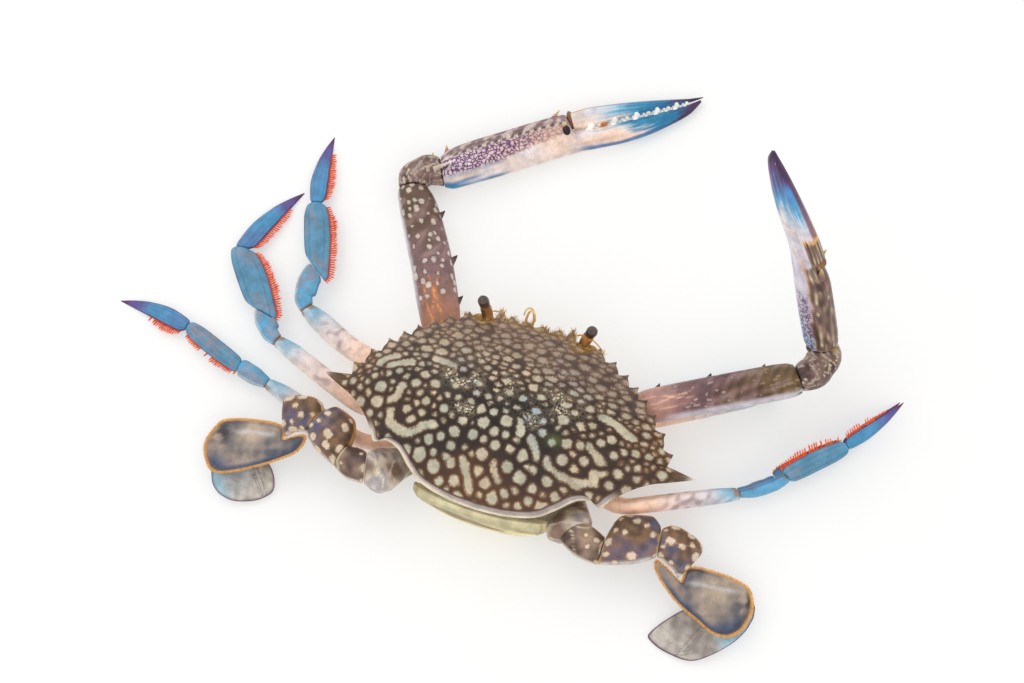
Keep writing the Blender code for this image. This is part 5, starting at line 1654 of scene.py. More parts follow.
def make_claw(side, material):
    """A claw's base, merus, carpus, palm and movable finger."""
    claw = CLAWS[side]
    hip, outward = hip_of("claw", side)
    shoulder = step_from(hip, side, claw["base"])
    elbow_joint = step_from(shoulder, side, claw["merus"])
    wrist = step_from(elbow_joint, side, claw["carpus"])
    along = {name: direction(side, *claw[name][1:]) for name in ("base", "merus", "palm")}
    wide = rolled(side, 0)
    lean = mitre(along["base"], along["merus"])
    made = loft([hip, shoulder], CLAW_BASE, (outward, lean), wide)
    dress(f"claw_base_{side}", lofted_shape(made, base_paint), material)
    corner = elbow(elbow_joint, wrist, along["merus"], along["palm"])
    first_lean = mitre(along["merus"], unit(corner - elbow_joint))
    second_lean = mitre(along["palm"], unit(wrist - corner))
    path = [shoulder, elbow_joint]
    made = loft(path, CLAW_MERUS[side], (lean, first_lean), wide, step=0.45, corners=72)
    shapes = [lofted_shape(made, merus_paint(side))]
    inner = wide(along["merus"])
    for share, reach in MERUS_SPINES[side]:
        base = shoulder + (elbow_joint - shoulder) * share + inner * (reach - 4.4)
        tip = shoulder + (elbow_joint - shoulder) * (share + 0.045) + inner * reach
        shapes.append(cone(base, tip, 2.3, rgb(104, 80, 76), rgb(56, 44, 44), curve=0.6))
    dress(f"claw_merus_{side}", joined(shapes), material)
    chord = np.linalg.norm(corner - elbow_joint) + np.linalg.norm(wrist - corner)
    bend = inside_of_bend(along["merus"], along["palm"])
    path = [elbow_joint, corner, wrist]
    made = loft(path, CLAW_CARPUS, (first_lean, second_lean), bend, chord / 2.2, 0.5, 48)
    outer = unit(2 * corner - elbow_joint - wrist)
    shapes = [lofted_shape(made, carpus_paint), *carpus_spines(side, wrist, outer, along["palm"])]
    dress(f"claw_carpus_{side}", joined(shapes), material)
    arriving = unit(wrist - corner)
    for name in ("palm", "finger"):
        shapes = hand_shapes(name, side, wrist, along["palm"], arriving)
        dress(f"claw_{name}_{side}", joined(shapes), material)


# Walking legs

LEG_BLUE = rgb(86, 140, 170)
LEG_GREY = rgb(128, 134, 150)
LEG_PURPLE = rgb(86, 62, 118)
PEACH = rgb(250, 194, 156)
PINK_GREY = rgb(222, 206, 204)
SETAE_SPACING = 0.085
SETAE_CLUMP = 0.95


def blade_section(angles):
    """A flat leg piece with thin edges, a low midrib and a groove on each side of it."""
    across = np.cos(angles)
    rise = np.sign(np.sin(angles)) * np.abs(np.sin(angles)) ** 1.3
    rise = rise * (1 + 0.10 * hump(across, 0, 0.12) - 0.12 * hump(np.abs(across), 0.4, 0.12))
    return across, rise


def midrib(lead):
    """A leg piece's midrib and the groove beside it."""
    return hump(lead, 0, 0.06) + hump(np.abs(lead), 0.55, 0.04)


def leg_merus_tint(shares, lead, noise, fine):
    """Peach, greyer and blotched outwards, blue at the knee."""
    tint = ramp(
        shares + 0.05 * noise, (0, PEACH), (0.5, rgb(248, 212, 190)), (0.76, PINK_GREY),
        (0.92, rgb(168, 192, 206)),
    )
    blotch = smoothstep(0.0, 1.0, 0.6 * noise + 0.9 * fine) * band(shares, 0.56, 0.88, 0.08)
    tint = blend(tint, rgb(154, 130, 136), 0.7 * blotch)
    blue = smoothstep(0.82, 0.95, shares) * smoothstep(-0.7, 0.4, fine + lead)
    tint = blend(tint, rgb(112, 170, 200), 0.75 * blue)
    tint = blend(tint, rgb(238, 226, 212), smoothstep(-0.55, -0.95, lead) * 0.6)
    rim = smoothstep(0.955, 0.98, shares) * smoothstep(-0.4, 0.3, fine)
    return blend(tint, rgb(150, 108, 62), 0.8 * rim)


def leg_carpus_tint(shares, lead, noise, fine):
    """Blue with greyer patches, white behind and brown at both ends."""
    grey = 0.8 * smoothstep(0.1, 0.9, noise + 0.6 * fine)
    tint = blend(rgb(92, 158, 194), rgb(136, 142, 160), grey)
    tint = blend(tint, rgb(206, 214, 214), smoothstep(-0.6, -0.98, lead) * 0.7)
    tint = blend(tint, rgb(70, 92, 140), 0.6 * smoothstep(0.9, 0.97, np.abs(lead)))
    rim = smoothstep(0.93, 0.97, shares) + smoothstep(0.05, 0.02, shares)
    return blend(tint, rgb(132, 100, 60), 0.7 * clamp(rim) * smoothstep(-0.3, 0.4, fine))


def leg_propodus_tint(shares, lead, noise, fine):
    """Blue and grey with a dark midrib and purple edges."""
    grey = smoothstep(-0.5, 0.9, noise + 0.5 * fine - 0.4 * np.abs(lead))
    tint = blend(LEG_BLUE, LEG_GREY, grey)
    ends = smoothstep(0.86, 0.98, shares) + smoothstep(0.12, 0.0, shares)
    tint = blend(tint, rgb(84, 150, 186), 0.7 * ends)
    tint = blend(tint, rgb(60, 84, 110), 0.35 * midrib(lead))
    return blend(tint, LEG_PURPLE, 0.85 * smoothstep(0.9, 0.97, np.abs(lead)))


def leg_dactyl_tint(shares, lead, noise, _):
    """Blue with purple borders, wider at the fringed edge, and a dark purple tip."""
    tint = blend(rgb(72, 148, 190), rgb(88, 124, 170), clamp(0.3 + 0.5 * noise))
    tint = blend(tint, rgb(98, 76, 146), smoothstep(0.48, 0.8, shares + 0.05 * noise) * 0.9)
    tint = blend(tint, rgb(96, 50, 80), smoothstep(0.78, 0.95, shares))
    border = np.maximum(smoothstep(0.76, 0.9, lead), smoothstep(0.86, 0.94, -lead))
    tint = blend(tint, rgb(84, 44, 92), 0.95 * border)
    return blend(tint, rgb(64, 60, 120), 0.35 * midrib(lead))


LEG_TINTS = {
    "merus": leg_merus_tint,
    "carpus": leg_carpus_tint,
    "propodus": leg_propodus_tint,
    "dactyl": leg_dactyl_tint,
}


def leg_paint(name, leg, seed):
    fringed = leg["fringe"] if name == "dactyl" else 1

    def paint(shares, angles, rings):
        noise = ripple(rings, 9, seed)
        fine = ripple(rings, 2.4, seed + 1)
        tint = LEG_TINTS[name](shares, np.cos(angles) * fringed, noise, fine)
        return {"tint": tint, "grain": 0.15}

    return paint


def setae(rings, shares, leg, seed, stretch, longest, gaps):
    """Spiky tufts of fine hairs along one edge of a leg piece."""
    rng = np.random.default_rng(seed)
    half = rings.shape[1] // 2
    pair = (0, -1) if leg["fringe"] > 0 else (half - 1, half)
    line = (rings[:, pair[0]] + rings[:, pair[1]]) / 2
    out = line - rings.mean(axis=1)
    out = out / np.linalg.norm(out, axis=1, keepdims=True)
    along = np.gradient(line, axis=0)
    along = along / np.maximum(np.linalg.norm(along, axis=1, keepdims=True), 1e-9)
    steps = distances_along(line)
    first, last = np.interp(stretch, shares[:, 0], steps)
    clump_count = int((last - first) / SETAE_CLUMP)
    sizes = rng.uniform(0.78, 1.08, clump_count + 1)
    missing = rng.uniform(0, 1, clump_count + 1) < gaps
    tones = rng.uniform(0, 1, clump_count + 1)
    hairs = []
    for k in range(int((last - first) / SETAE_SPACING)):
        for row in (-1, 0, 1):
            at = (k + rng.uniform(0, 1)) * SETAE_SPACING
            place = at / (last - first)
            clump = int(min(place, 0.999) * clump_count)
            within = place * clump_count % 1 * 2 - 1
            if missing[clump]:
                continue
            where = first + at
            base, way_out, way_on = (
                np.array([np.interp(where, steps, column) for column in values.T])
                for values in (line, out, along)
            )
            swelling = sin(pi * (0.1 + 0.8 * min(place, 1.0))) ** 0.45
            length = longest * swelling * sizes[clump] * (1.16 - 0.62 * abs(within))
            length *= rng.uniform(0.9, 1.05)
            lying = leg["lie"]
            on = 0.2 + lying - 0.3 * within + rng.uniform(-0.08, 0.08)
            way = unit(way_out * (1 - 0.6 * lying) + way_on * on + UP * 0.07 * row)
            tint = blend(rgb(224, 58, 16), rgb(250, 118, 48), 0.5 * tones[clump] + rng.uniform(0, 0.5))
            start = base - way_out * 0.5 + UP * 0.18 * row
            bend = way_on * rng.uniform(0.05, 0.2) * length
            hairs.append((start, way * (length + 0.5), bend, tint, (float(place), row)))
    return hair_shape(hairs)


HAIR_POINTS = 7  # two rings of three and the tip


def hair_shape(hairs, radius=0.16):
    """Thin three-sided hairs as one shape, with the place of each root on its limb. A hair is
    its base, its way and length, how far its tip is bent aside, its colour and its place."""
    bases, ways, bends, tints, roots = (np.array(column, float) for column in zip(*hairs))
    first = np.cross(ways, UP)
    first = first / np.linalg.norm(first, axis=1, keepdims=True)
    second = np.cross(ways, first)
    second = second / np.linalg.norm(second, axis=1, keepdims=True)
    corners = []
    for share, size in ((0.0, 1.0), (0.55, 0.85)):
        middle = bases + ways * share + bends * share**2
        for angle in (0, 2 * pi / 3, 4 * pi / 3):
            corners.append(middle + (first * cos(angle) + second * sin(angle)) * radius * size)
    corners.append(bases + ways + bends)
    points = np.stack(corners, axis=1).reshape(-1, 3)
    points[:, 2] = np.maximum(points[:, 2], 0.0)
    faces = []
    for start in range(0, len(points), HAIR_POINTS):
        for c in range(3):
            d = (c + 1) % 3
            faces.append((start + c, start + d, start + 3 + d, start + 3 + c))
            faces.append((start + 3 + c, start + 3 + d, start + 6))
    # Painted shade and light: each hair is darkened at its root, where the roots crowd, and brightened
    # at its tip.
    root_shade_tip_light = np.array([0.72, 0.72, 0.72, 1.0, 1.0, 1.0, 1.1])
    tints = (tints[:, None] * root_shade_tip_light[None, :, None]).reshape(-1, 3)
    return shape_of(points, faces, tints, grain=0.0), np.repeat(roots, HAIR_POINTS, axis=0)


def add_fringe(name, hairs, material):
    """Joins hairs to one piece. Its bake map puts each hair in a small patch at its root's
    place on the limb unrolled: along it to the right, its pieces one above the other."""
    shapes = [shape for shape, _ in hairs]
    piece = add_piece(name, joined(shapes), material)
    places = []
    for number, (_, roots) in enumerate(hairs):
        u = 0.02 + 0.95 * clamp(roots[:, 0])
        v = (number + 0.5 + 0.2 * roots[:, 1]) / len(hairs)
        places.append(np.stack([u, v], axis=-1))
    places = np.concatenate(places)
    corner = np.array([(k % 3 * 0.001, k // 3 * 0.001) for k in range(HAIR_POINTS)])
    places = places + np.tile(corner, (len(places) // HAIR_POINTS, 1))
    mesh = piece.data
    layer = mesh.uv_layers.new(name="OFBake")
    order = np.zeros(len(mesh.loops), int)
    mesh.loops.foreach_get("vertex_index", order)
    layer.data.foreach_set("uv", places[order].astype(np.float32).ravel())
    return piece


def make_leg(limb, side, material, hair_material):
    """A walking leg's four pieces and its two fringes of setae, which are one piece."""
    leg = {**LEG_COMMON, **LEGS[limb, side]}
    fringed = leg["fringe"]
    hip, outward = hip_of(limb, side)
    bend = step_from(hip, side, leg["merus"][0])
    knee = step_from(bend, side, leg["merus"][1])
    ankle = step_from(knee, side, leg["carpus"])
    toe = step_from(ankle, side, leg["propodus"])
    tip = step_from(toe, side, leg["dactyl"])
    steps = (leg["merus"][1], leg["propodus"], leg["dactyl"])
    along = [direction(side, *step[1:]) for step in steps]
    corner = elbow(knee, ankle, along[0], along[1])
    turned = rolled(side, leg["rolls"][2])(along[1]) * fringed * leg["skew"]
    leans = [outward, mitre(along[0], unit(corner - knee))]
    leans += [unit(mitre(unit(ankle - corner), along[1]) + turned)]
    leans += [mitre(along[1], along[2]), along[2]]
    pieces = (
        ("merus", [hip, bend, knee], LEG_MERUS, 8.0, round_section),
        ("carpus", [knee, corner, ankle], LEG_CARPUS, 7.0, round_section),
        ("propodus", [ankle, toe], LEG_PROPODUS, 0.0, blade_section),
        ("dactyl", [toe, tip], LEG_DACTYL, 0.0, blade_section),
    )
    hairs = []
    gaps = leg["gaps"]
    seed = 60 + 7 * list(LEGS).index((limb, side))
    for number, (name, path, table, rounding, section) in enumerate(pieces):
        if fringed < 0:
            table = [(share, behind, ahead, thick) for share, ahead, behind, thick in table]
        kept = leg["behind"][number]
        table = [(share, ahead, behind * kept, thick) for share, ahead, behind, thick in table]
        scale = leg["scales"][number]
        wide = rolled(side, leg["rolls"][number])
        made = loft(path, table, leans[number : number + 2], wide, rounding, 0.5, 48, scale, section)
        shape = lofted_shape(made, leg_paint(name, leg, seed))
        node = f"{limb}_{name}_{side}"
        dress(node, shape, material)
        if name == "propodus":
            longest = 3.0 if gaps < 0.3 else 2.1
            hairs.append(setae(made[0], made[1], leg, seed, (0.0, 0.93), longest, gaps))
        if name == "dactyl":
            stretch = (0.04, 0.52 if gaps else 0.74)
            hairs.append(setae(made[0], made[1], leg, seed + 1, stretch, 2.6, gaps / 2))
    add_fringe(f"fringe_{limb}_{side}", hairs, hair_material)


# Swimming legs

SWIM_BROWN = rgb(108, 82, 60)
SWIM_BLUE = rgb(72, 88, 122)
SWIM_SPOT = rgb(212, 190, 166)
EDGE_SETAE_SPACING = 0.16
EDGE_SETAE_LENGTH = 1.2


def swim_paint(name, side, seed):
    """The pieces before the paddle: pale at the body, then brown and blue with cream spots."""

    def paint(shares, angles, rings):
        lead = np.cos(angles)
        noise = ripple(rings, 6, seed)
        fine = ripple(rings, 2.2, seed + 1)
        fold = hump(ripple(rings * np.array([1.0, 1.0, 0.6]), 6, seed + 3), 0, 0.1)
        if name == "coxa":
            tint = blend(rgb(134, 108, 92), rgb(222, 206, 186), clamp(0.45 + 0.7 * noise + 0.2 * fine))
            blue = smoothstep(0.3, 0.75, noise - 0.5 * fine) * smoothstep(0.3, 0.6, shares)
            tint = blend(tint, rgb(84, 98, 136), 0.5 * blue)
            tint = blend(tint, rgb(236, 224, 204), 0.7 * fold)
            return {"tint": tint, "grain": 0.4}
        if name == "ischium":
            tint = blend(rgb(80, 58, 52), rgb(156, 132, 112), clamp(0.3 + 0.6 * noise + 0.3 * fine))
            tint = blend(tint, rgb(222, 206, 178), 0.8 * fold)
        else:
            mauve = smoothstep(-0.5, 0.8, noise - 0.5 * lead)
            tint = blend(SWIM_BROWN, rgb(108, 92, 110), 0.8 * mauve)
            far = smoothstep(0.3, -0.7, lead)
            if name == "merus":
                far = smoothstep(0.55, 0.85, shares + 0.2 * fine)
            tint = blend(tint, SWIM_BLUE, 0.75 * far * smoothstep(-0.5, 0.5, noise))
            tint = blend(tint, rgb(140, 106, 76), 0.6 * smoothstep(0.1, 0.8, fine))
            tint = blend(tint, rgb(62, 50, 44), 0.5 * smoothstep(0.0, 0.8, -fine - 0.4 * noise))
        outer = lead if name == "merus" else np.abs(lead)
        tint = blend(tint, AMBER, smoothstep(0.9, 0.97, outer) * 0.9)
        tint = blend(tint, rgb(214, 204, 196), smoothstep(-0.85, -0.97, lead) * 0.8)
        keep = SIDES[side] * np.sin(angles) > 0.1
        count, radii = (6, (0.5, 0.9)) if name == "ischium" else (13, (0.7, 1.75))
        spots = scattered_spots(rings, count, radii, seed + 2, keep, clear=1.0, stretch=0.5)
        spot = spot_distance(rings, spots) + 0.1 * fine
        tint = blend(tint, rgb(132, 98, 68), 0.6 * smoothstep(0.9, 0.1, spot) * (spot > 0))
        rim = clamp(smoothstep(0.04, 0.02, shares) + smoothstep(0.96, 0.98, shares))
        tint = blend(tint, rgb(196, 148, 84), 0.8 * rim * smoothstep(-0.2, 0.4, fine))
        return {"tint": tint, "mark": SWIM_SPOT, "spot": spot, "grain": 0.35}

    return paint


def closed_curve(points, step):
    """A smooth closed curve through points, at about the given step."""
    points = np.asarray(points, float)
    count = len(points)
    made = []
    for k in range(count):
        a, b, c, d = (points[(k + shift) % count] for shift in (-1, 0, 1, 2))
        pieces = max(int(np.linalg.norm(c - b) / step), 1)
        made += [between(a, b, c, d, t) for t in np.arange(pieces) / pieces]
    return np.array(made)


def paddle_shape(hinge, along, ahead, outline, middle, paint):
    """A flat piece inside an outline, thickest in its middle, with rounded edges."""
    face = np.cross(along, ahead)
    middle = np.array(middle)
    curve = closed_curve(outline, 0.7)
    rings, sizes, flats = [], [], []
    profile = [(s, np.sqrt(1 - s**2.6)) for s in np.linspace(0.03, 0.97, 30)]
    profile += [(0.985, 0.25), (1.0, 0.0), (0.985, -0.25)]
    profile += [(s, -np.sqrt(1 - s**2.6)) for s in np.linspace(0.97, 0.03, 16)]
    for share, height in profile:
        flat = middle + (curve - middle) * share
        ribs = 0.14 * hump(flat[:, 1], -2.0, 0.7) * (share < 0.9)
        rise = height * PADDLE_HALF_THICKNESS * (0.8 + 0.2 * (1 - share)) + ribs * np.sign(height)
        points = hinge + np.outer(flat[:, 0], along) + np.outer(flat[:, 1], ahead)
        rings.append(points + np.outer(rise, face))
        sizes.append(np.full(len(curve), share))
        flats.append(flat)
    rings = above_floor(rings)
    return painted_shape(rings, paint(np.array(sizes), np.array(flats), rings))


def propodus_paint(sizes, flats, rings):
    """The paddle's large piece. Its sizes are shares of the way from its middle to its edge."""
    noise = ripple(rings, 9, 91)
    fine = ripple(rings, 2.4, 92)
    onward, ahead = flats[..., 0], flats[..., 1]
    tint = blend(rgb(164, 146, 132), rgb(84, 86, 98), clamp(0.45 + 0.8 * noise + 0.3 * fine))
    cream = mound(onward, ahead, (14, -1), (7, 4.5))
    tint = blend(tint, rgb(212, 190, 162), 0.7 * cream)
    dark = mound(onward, ahead, (27, 1), (5, 4))
    tint = blend(tint, rgb(48, 44, 46), dark * smoothstep(-0.9, 0.2, fine))
    light = hump(ahead + 3 - 0.25 * onward + noise, 0, 0.8) * band(onward, 4, 20, 3)
    tint = blend(tint, rgb(206, 206, 210), 0.5 * light)
    lower = smoothstep(-3, -11, ahead + 2 * noise) * smoothstep(0.5, 0.9, sizes)
    tint = blend(tint, rgb(52, 74, 104), 0.9 * lower)
    border = smoothstep(0.84, 0.93, sizes) * smoothstep(-0.5, 0.4, noise)
    tint = blend(tint, rgb(62, 60, 70), 0.7 * border)
    tint = blend(tint, rgb(206, 150, 82), smoothstep(0.965, 0.985, sizes))
    return {"tint": tint, "grain": 0.25}


def paddle_dactyl_paint(sizes, flats, rings):
    """The paddle's last piece: cream, blue at its hinge, with fine creases."""
    noise = ripple(rings, 8, 93)
    fine = ripple(rings, 1.8, 94)
    onward, ahead = flats[..., 0], flats[..., 1]
    tint = blend(rgb(196, 188, 178), rgb(150, 140, 134), clamp(0.4 + 0.5 * noise + 0.35 * fine))
    tint = blend(tint, rgb(146, 190, 210), smoothstep(21, 8, onward + 4 * noise) * 0.85)
    for line in (-1.8, 0.0, 1.0):
        crease = hump(ahead - 0.55 * onward + 8.6 - 0.4 * noise, line, 0.22)
        crease = crease * smoothstep(12, 16, onward)
        tint = blend(tint, rgb(84, 70, 66), 0.6 * crease)
    tint = blend(tint, rgb(92, 52, 84), smoothstep(0.955, 0.985, sizes))
    return {"tint": tint, "grain": 0.2}


def edge_setae(hinge, along, ahead, outline, middle, seed):
    """Short setae round a paddle's edge."""
    rng = np.random.default_rng(seed)
    curve = closed_curve(outline, EDGE_SETAE_SPACING)
    middle = np.array(middle)
    face = np.cross(along, ahead)
    count = len(curve)
    hairs = []
    for k in range(count):
        tangent = unit(curve[(k + 2) % count] - curve[k - 2])
        normal = np.array([tangent[1], -tangent[0]])
        if normal @ (curve[k] - middle) < 0:
            normal = -normal
        for row in (-1, 1):
            flat = curve[k] + tangent * rng.uniform(-0.1, 0.1) - normal * 0.4
            base = hinge + along * flat[0] + ahead * flat[1] + face * row * 0.15
            way = along * normal[0] + ahead * normal[1]
            way = way + (along * tangent[0] + ahead * tangent[1]) * 0.4
            way = unit(way + face * 0.1 * row)
            size = EDGE_SETAE_LENGTH * rng.uniform(0.7, 1.05) + 0.4
            tint = blend(rgb(214, 150, 70), rgb(240, 192, 116), rng.uniform(0, 1))
            hairs.append((base, way * size, way * 0.0, tint, (k / count, row)))
    return hair_shape(hairs, 0.12)


def make_swimming_leg(side, material, hair_material):
    """A swimming leg's six pieces, the last two flat, and the setae round its paddle."""
    *steps, dactyl_heading = SWIMMING_LEGS[side]
    hip, outward = hip_of("swim", side)
    joints = [hip]
    for step in steps:
        joints.append(step_from(joints[-1], side, step))
    along = [direction(side, *step[1:]) for step in steps]
    corner = elbow(joints[3], joints[4], along[2], along[4])
    wide = rolled(side, 0)
    leans = [outward, mitre(along[0], along[1]), mitre(along[1], along[2])]
    leans += [mitre(along[2], unit(corner - joints[3])), along[3]]
    pieces = (
        ("coxa", [joints[0], joints[1]], SWIM_COXA),
        ("ischium", [joints[1], joints[2]], SWIM_ISCHIUM),
        ("merus", [joints[2], joints[3]], SWIM_MERUS),
        ("carpus", [joints[3], corner, joints[4]], SWIM_CARPUS),
    )
    seed = 100 if side == "left" else 120
    for number, (name, path, table) in enumerate(pieces):
        made = loft(path, table, leans[number : number + 2], wide, 6.0, 0.5, 48)
        shape = lofted_shape(made, swim_paint(name, side, seed + 4 * number))
        node = f"swim_{name}_{side}"
        dress(node, shape, material)
    ahead = wide(along[4])
    paddle = (joints[4], along[4], ahead, SWIM_PROPODUS[side], SWIM_PROPODUS_MIDDLE)
    blade = paddle_shape(*paddle, propodus_paint)
    dress(f"swim_propodus_{side}", blade, material)
    hinge = joints[5] - UP * PADDLE_DROP[side]
    way = direction(side, dactyl_heading, PADDLE_DACTYL_PITCH)
    outline = SWIM_DACTYL[side]
    blade = paddle_shape(hinge, way, wide(way), outline, SWIM_DACTYL_MIDDLE, paddle_dactyl_paint)
    dress(f"swim_dactyl_{side}", blade, material)
    hairs = [edge_setae(*paddle, seed)]
    add_fringe(f"fringe_swim_{side}", hairs, hair_material)


# Materials


def new_material(name):
    """A material with its node tree and shader."""
    material = bpy.data.materials.new(name)
    material.use_nodes = True
    tree = material.node_tree
    shader = tree.nodes["Principled BSDF"]
    return material, tree, shader


def attribute(tree, name):
    node = tree.nodes.new("ShaderNodeAttribute")
    node.attribute_name = name
    return node


def coordinates(tree):
    """Where a point is, in millimetres."""
    source = tree.nodes.new("ShaderNodeTexCoord")
    mapping = tree.nodes.new("ShaderNodeMapping")
    mapping.inputs["Scale"].default_value = (1 / MM,) * 3
    tree.links.new(source.outputs["Object"], mapping.inputs["Vector"])
    return mapping.outputs["Vector"]


def noise_node(tree, where, scale, detail, roughness=0.6):
    node = tree.nodes.new("ShaderNodeTexNoise")
    node.inputs["Scale"].default_value = scale
    node.inputs["Detail"].default_value = detail
    node.inputs["Roughness"].default_value = roughness
    tree.links.new(where, node.inputs["Vector"])
    return node.outputs["Fac"]


def math_node(tree, operation, first, second):
    node = tree.nodes.new("ShaderNodeMath")
    node.operation = operation
    for socket, value in zip(node.inputs, (first, second)):
        if isinstance(value, (int, float)):
            socket.default_value = value
        else:
            tree.links.new(value, socket)
    return node.outputs[0]


def fitted(tree, value, low, high, to_low=0.0, to_high=1.0):
    """A value's smooth step from one range to another."""
    node = tree.nodes.new("ShaderNodeMapRange")
    node.interpolation_type = "SMOOTHSTEP"
    node.inputs["From Min"].default_value = low
    node.inputs["From Max"].default_value = high
    node.inputs["To Min"].default_value = to_low
    node.inputs["To Max"].default_value = to_high
    tree.links.new(value, node.inputs["Value"])
    return node.outputs["Result"]


def mixed(tree, share, first, second, mode="MIX"):
    """Two colours mixed by a share. Each is a socket or a plain value."""
    node = tree.nodes.new("ShaderNodeMix")
    node.data_type = "RGBA"
    node.blend_type = mode
    sockets = [node.inputs[0]] + [socket for socket in node.inputs if socket.type == "RGBA"]
    for socket, value in zip(sockets, (share, first, second)):
        if isinstance(value, (int, float)):
            socket.default_value = value
        elif isinstance(value, (tuple, np.ndarray)):
            socket.default_value = (*value, 1.0)
        else:
            tree.links.new(value, socket)
    return next(socket for socket in node.outputs if socket.type == "RGBA")


def shaded(tree, colour, light):
    """A colour times a brightness."""
    grey = tree.nodes.new("ShaderNodeCombineColor")
    for socket in grey.inputs[:3]:
        tree.links.new(light, socket)
    return mixed(tree, 1.0, colour, grey.outputs["Color"], "MULTIPLY")


def voronoi_node(tree, where, scale, feature, smoothness=0.0):
    node = tree.nodes.new("ShaderNodeTexVoronoi")
    node.feature = feature
    node.inputs["Scale"].default_value = scale
    if feature == "SMOOTH_F1":
        node.inputs["Smoothness"].default_value = smoothness
    tree.links.new(where, node.inputs["Vector"])
    return node.outputs["Distance"]


def shell_material(
    name, net_colour, roughness, soft_edge=0.28, net_scale=0.55, speckle=0.25, coat=0.05, bump=0.5
):
    """Painted shell: ground colour with blotches, spots, a network of veins, grain and gloss."""
    material, tree, shader = new_material(name)
    where = coordinates(tree)
    tint = attribute(tree, "tint").outputs["Color"]
    mark = attribute(tree, "mark").outputs["Color"]
    spot = attribute(tree, "spot").outputs["Fac"]
    net = attribute(tree, "net").outputs["Fac"]
    grain = attribute(tree, "grain").outputs["Fac"]
    wobble = noise_node(tree, where, 1.1, 4.0)
    cloud = noise_node(tree, where, 0.22, 5.0)
    dust = noise_node(tree, where, 3.2, 3.0, 0.7)
    edge = math_node(tree, "ADD", spot, fitted(tree, wobble, 0.3, 0.7, -0.28, 0.28))
    inside = fitted(tree, edge, soft_edge, -soft_edge)
    colour = mixed(tree, inside, tint, mark)
    veins = voronoi_node(tree, where, net_scale, "DISTANCE_TO_EDGE")
    veins = math_node(tree, "ADD", veins, fitted(tree, wobble, 0.3, 0.7, -0.1, 0.1))
    veins = math_node(tree, "MULTIPLY", fitted(tree, veins, 0.2, 0.05), net)
    colour = mixed(tree, veins, colour, net_colour)
    light = fitted(tree, cloud, 0.3, 0.7, 0.82, 1.16)
    speck = fitted(tree, dust, 0.3, 0.72, 1 - speckle, 1 + speckle)
    light = math_node(tree, "MULTIPLY", light, speck)
    tree.links.new(shaded(tree, colour, light), shader.inputs["Base Color"])
    rough = fitted(tree, dust, 0.25, 0.75, roughness - 0.09, roughness + 0.12)
    tree.links.new(rough, shader.inputs["Roughness"])
    knobs = voronoi_node(tree, where, 1.25, "SMOOTH_F1", 0.5)
    knobs = fitted(tree, knobs, 0.0, 0.45, 1.0, 0.0)
    height = math_node(tree, "MULTIPLY", knobs, grain)
    height = math_node(tree, "ADD", height, math_node(tree, "MULTIPLY", dust, 0.22))
    bumps = tree.nodes.new("ShaderNodeBump")
    bumps.inputs["Strength"].default_value = bump
    bumps.inputs["Distance"].default_value = 0.35 * MM
    tree.links.new(height, bumps.inputs["Height"])
    tree.links.new(bumps.outputs["Normal"], shader.inputs["Normal"])
    shader.inputs["Specular IOR Level"].default_value = 0.28
    shader.inputs["Coat Weight"].default_value = coat
    shader.inputs["Coat Roughness"].default_value = 0.25
    return material


def fringe_material(name):
    """Setae: their own colours, a little uneven and dull."""
    material, tree, shader = new_material(name)
    where = coordinates(tree)
    tint = attribute(tree, "tint").outputs["Color"]
    light = fitted(tree, noise_node(tree, where, 1.5, 3.0), 0.3, 0.7, 0.8, 1.15)
    tree.links.new(shaded(tree, tint, light), shader.inputs["Base Color"])
    shader.inputs["Roughness"].default_value = 0.6
    return material


def floor_material():
    """Pale grey, faintly uneven, with some light of its own that softens the shadows."""
    material, tree, shader = new_material("floor")
    where = coordinates(tree)
    light = fitted(tree, noise_node(tree, where, 0.01, 2.0), 0.3, 0.7, 0.0, 1.0)
    colour = mixed(tree, light, (0.55, 0.55, 0.546), (0.565, 0.565, 0.561))
    tree.links.new(colour, shader.inputs["Base Color"])
    shader.inputs["Emission Color"].default_value = (1.0, 0.998, 0.99, 1.0)
    shader.inputs["Emission Strength"].default_value = 0.4
    shader.inputs["Roughness"].default_value = 0.9
    shader.inputs["Specular IOR Level"].default_value = 0.2
    return material


# Floor, light and camera


def standing(*columns):
    """The matrix of an object from its right, its top, its back and its place."""
    return Matrix([[column[k] for column in columns] for k in range(3)] + [[0, 0, 0, 1]])


def add_area(name, aim, place_at, size, power):
    """A round lamp that points at a place."""
    light = bpy.data.lights.new(name, "AREA")
    light.shape = "DISK"
    light.size = size
    light.energy = power
    lamp = bpy.data.objects.new(name, light)
    bpy.context.scene.collection.objects.link(lamp)
    lamp.location = place_at
    back = -unit(np.array(aim) - np.array(place_at))
    right = unit(np.cross(UP, back))
    rise = np.cross(back, right)
    lamp.matrix_world = standing(right, rise, back, place_at)


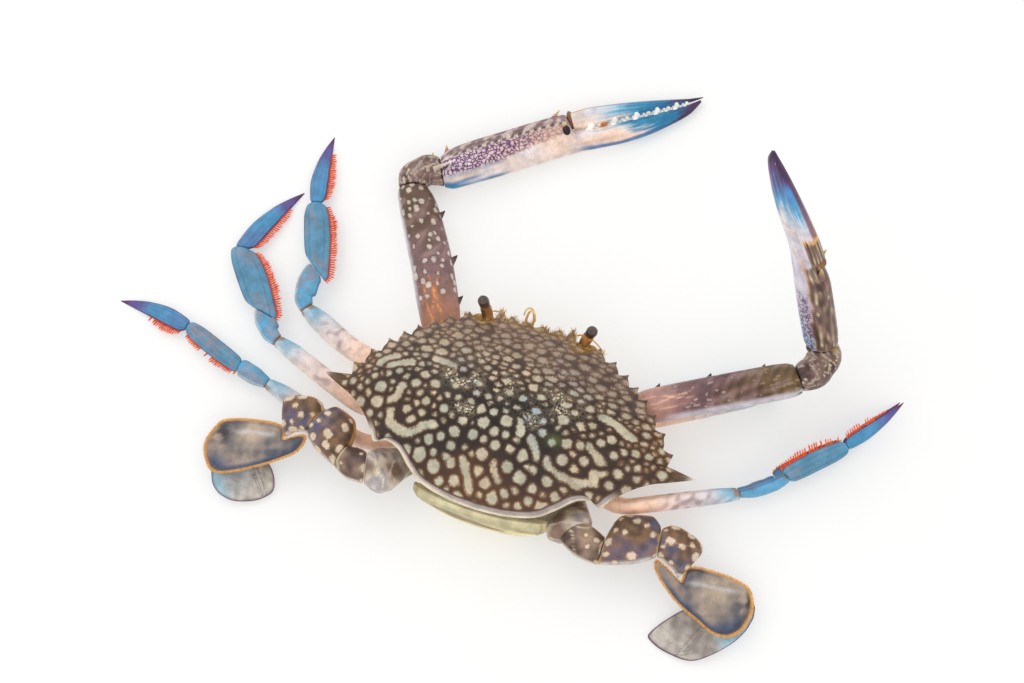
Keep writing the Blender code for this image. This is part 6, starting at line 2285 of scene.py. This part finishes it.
def make_studio():
    """A wide pale floor, even light from all round and two large soft lamps, in metres."""
    shape = bmesh.new()
    bmesh.ops.create_grid(shape, x_segments=8, y_segments=8, size=4.0)
    mesh = bpy.data.meshes.new("floor")
    shape.to_mesh(mesh)
    shape.free()
    mesh.materials.append(floor_material())
    floor = bpy.data.objects.new("floor", mesh)
    floor.location = (0, 0, -0.02 * MM)
    bpy.context.scene.collection.objects.link(floor)
    world = bpy.data.worlds.new("studio")
    bpy.context.scene.world = world
    world.use_nodes = True
    background = world.node_tree.nodes["Background"]
    background.inputs["Color"].default_value = (1.0, 0.995, 0.985, 1.0)
    background.inputs["Strength"].default_value = 1.02
    add_area("key", (0, 0, 0), (0.75, -0.75, 1.15), 1.2, 2.8)
    add_area("fill", (0, 0, 0), (-0.7, 0.9, 0.9), 1.2, 1.5)
    bpy.context.scene.view_settings.view_transform = "Standard"


def make_camera():
    """The camera that the photograph was taken from."""
    lens = bpy.data.cameras.new("camera")
    lens.lens = CAMERA_LENS
    lens.sensor_width = 36.0
    lens.clip_start = 0.01
    lens.clip_end = 50.0
    camera = bpy.data.objects.new("camera", lens)
    bpy.context.scene.collection.objects.link(camera)
    camera.matrix_world = standing(CAMERA_RIGHT, CAMERA_UP, CAMERA_BACK, np.array(CAMERA_PLACE) * MM)
    bpy.context.scene.camera = camera


def main():
    shell = shell_material("shell", rgb(176, 172, 150), 0.36, 0.42, 0.75, coat=0.06)
    claw = shell_material("claw", rgb(104, 66, 106), 0.34, 0.38, net_scale=0.62, speckle=0.14, bump=0.3)
    leg = shell_material("leg", rgb(120, 100, 140), 0.34, speckle=0.12, bump=0.25)
    paddle = shell_material("paddle", rgb(120, 100, 100), 0.36, 0.42, speckle=0.18, bump=0.3)
    belly = shell_material("belly", rgb(176, 160, 120), 0.4, speckle=0.12, bump=0.3)
    feeler = shell_material("feeler", rgb(120, 80, 40), 0.4, speckle=0.2, bump=0.3)
    cornea = shell_material("cornea", rgb(40, 30, 24), 0.12, speckle=0.1, coat=0.8, bump=0.05)
    orange = fringe_material("setae_orange")
    yellow = fringe_material("setae_yellow")
    make_carapace(shell)
    make_underside(belly)
    make_eyes(cornea, feeler)
    make_feelers(feeler)
    make_orbits(feeler, yellow)
    for side in SIDES:
        make_claw(side, claw)
        for limb in ("leg1", "leg2", "leg3"):
            make_leg(limb, side, leg, orange)
        make_swimming_leg(side, paddle, yellow)
    make_studio()
    make_camera()


main()
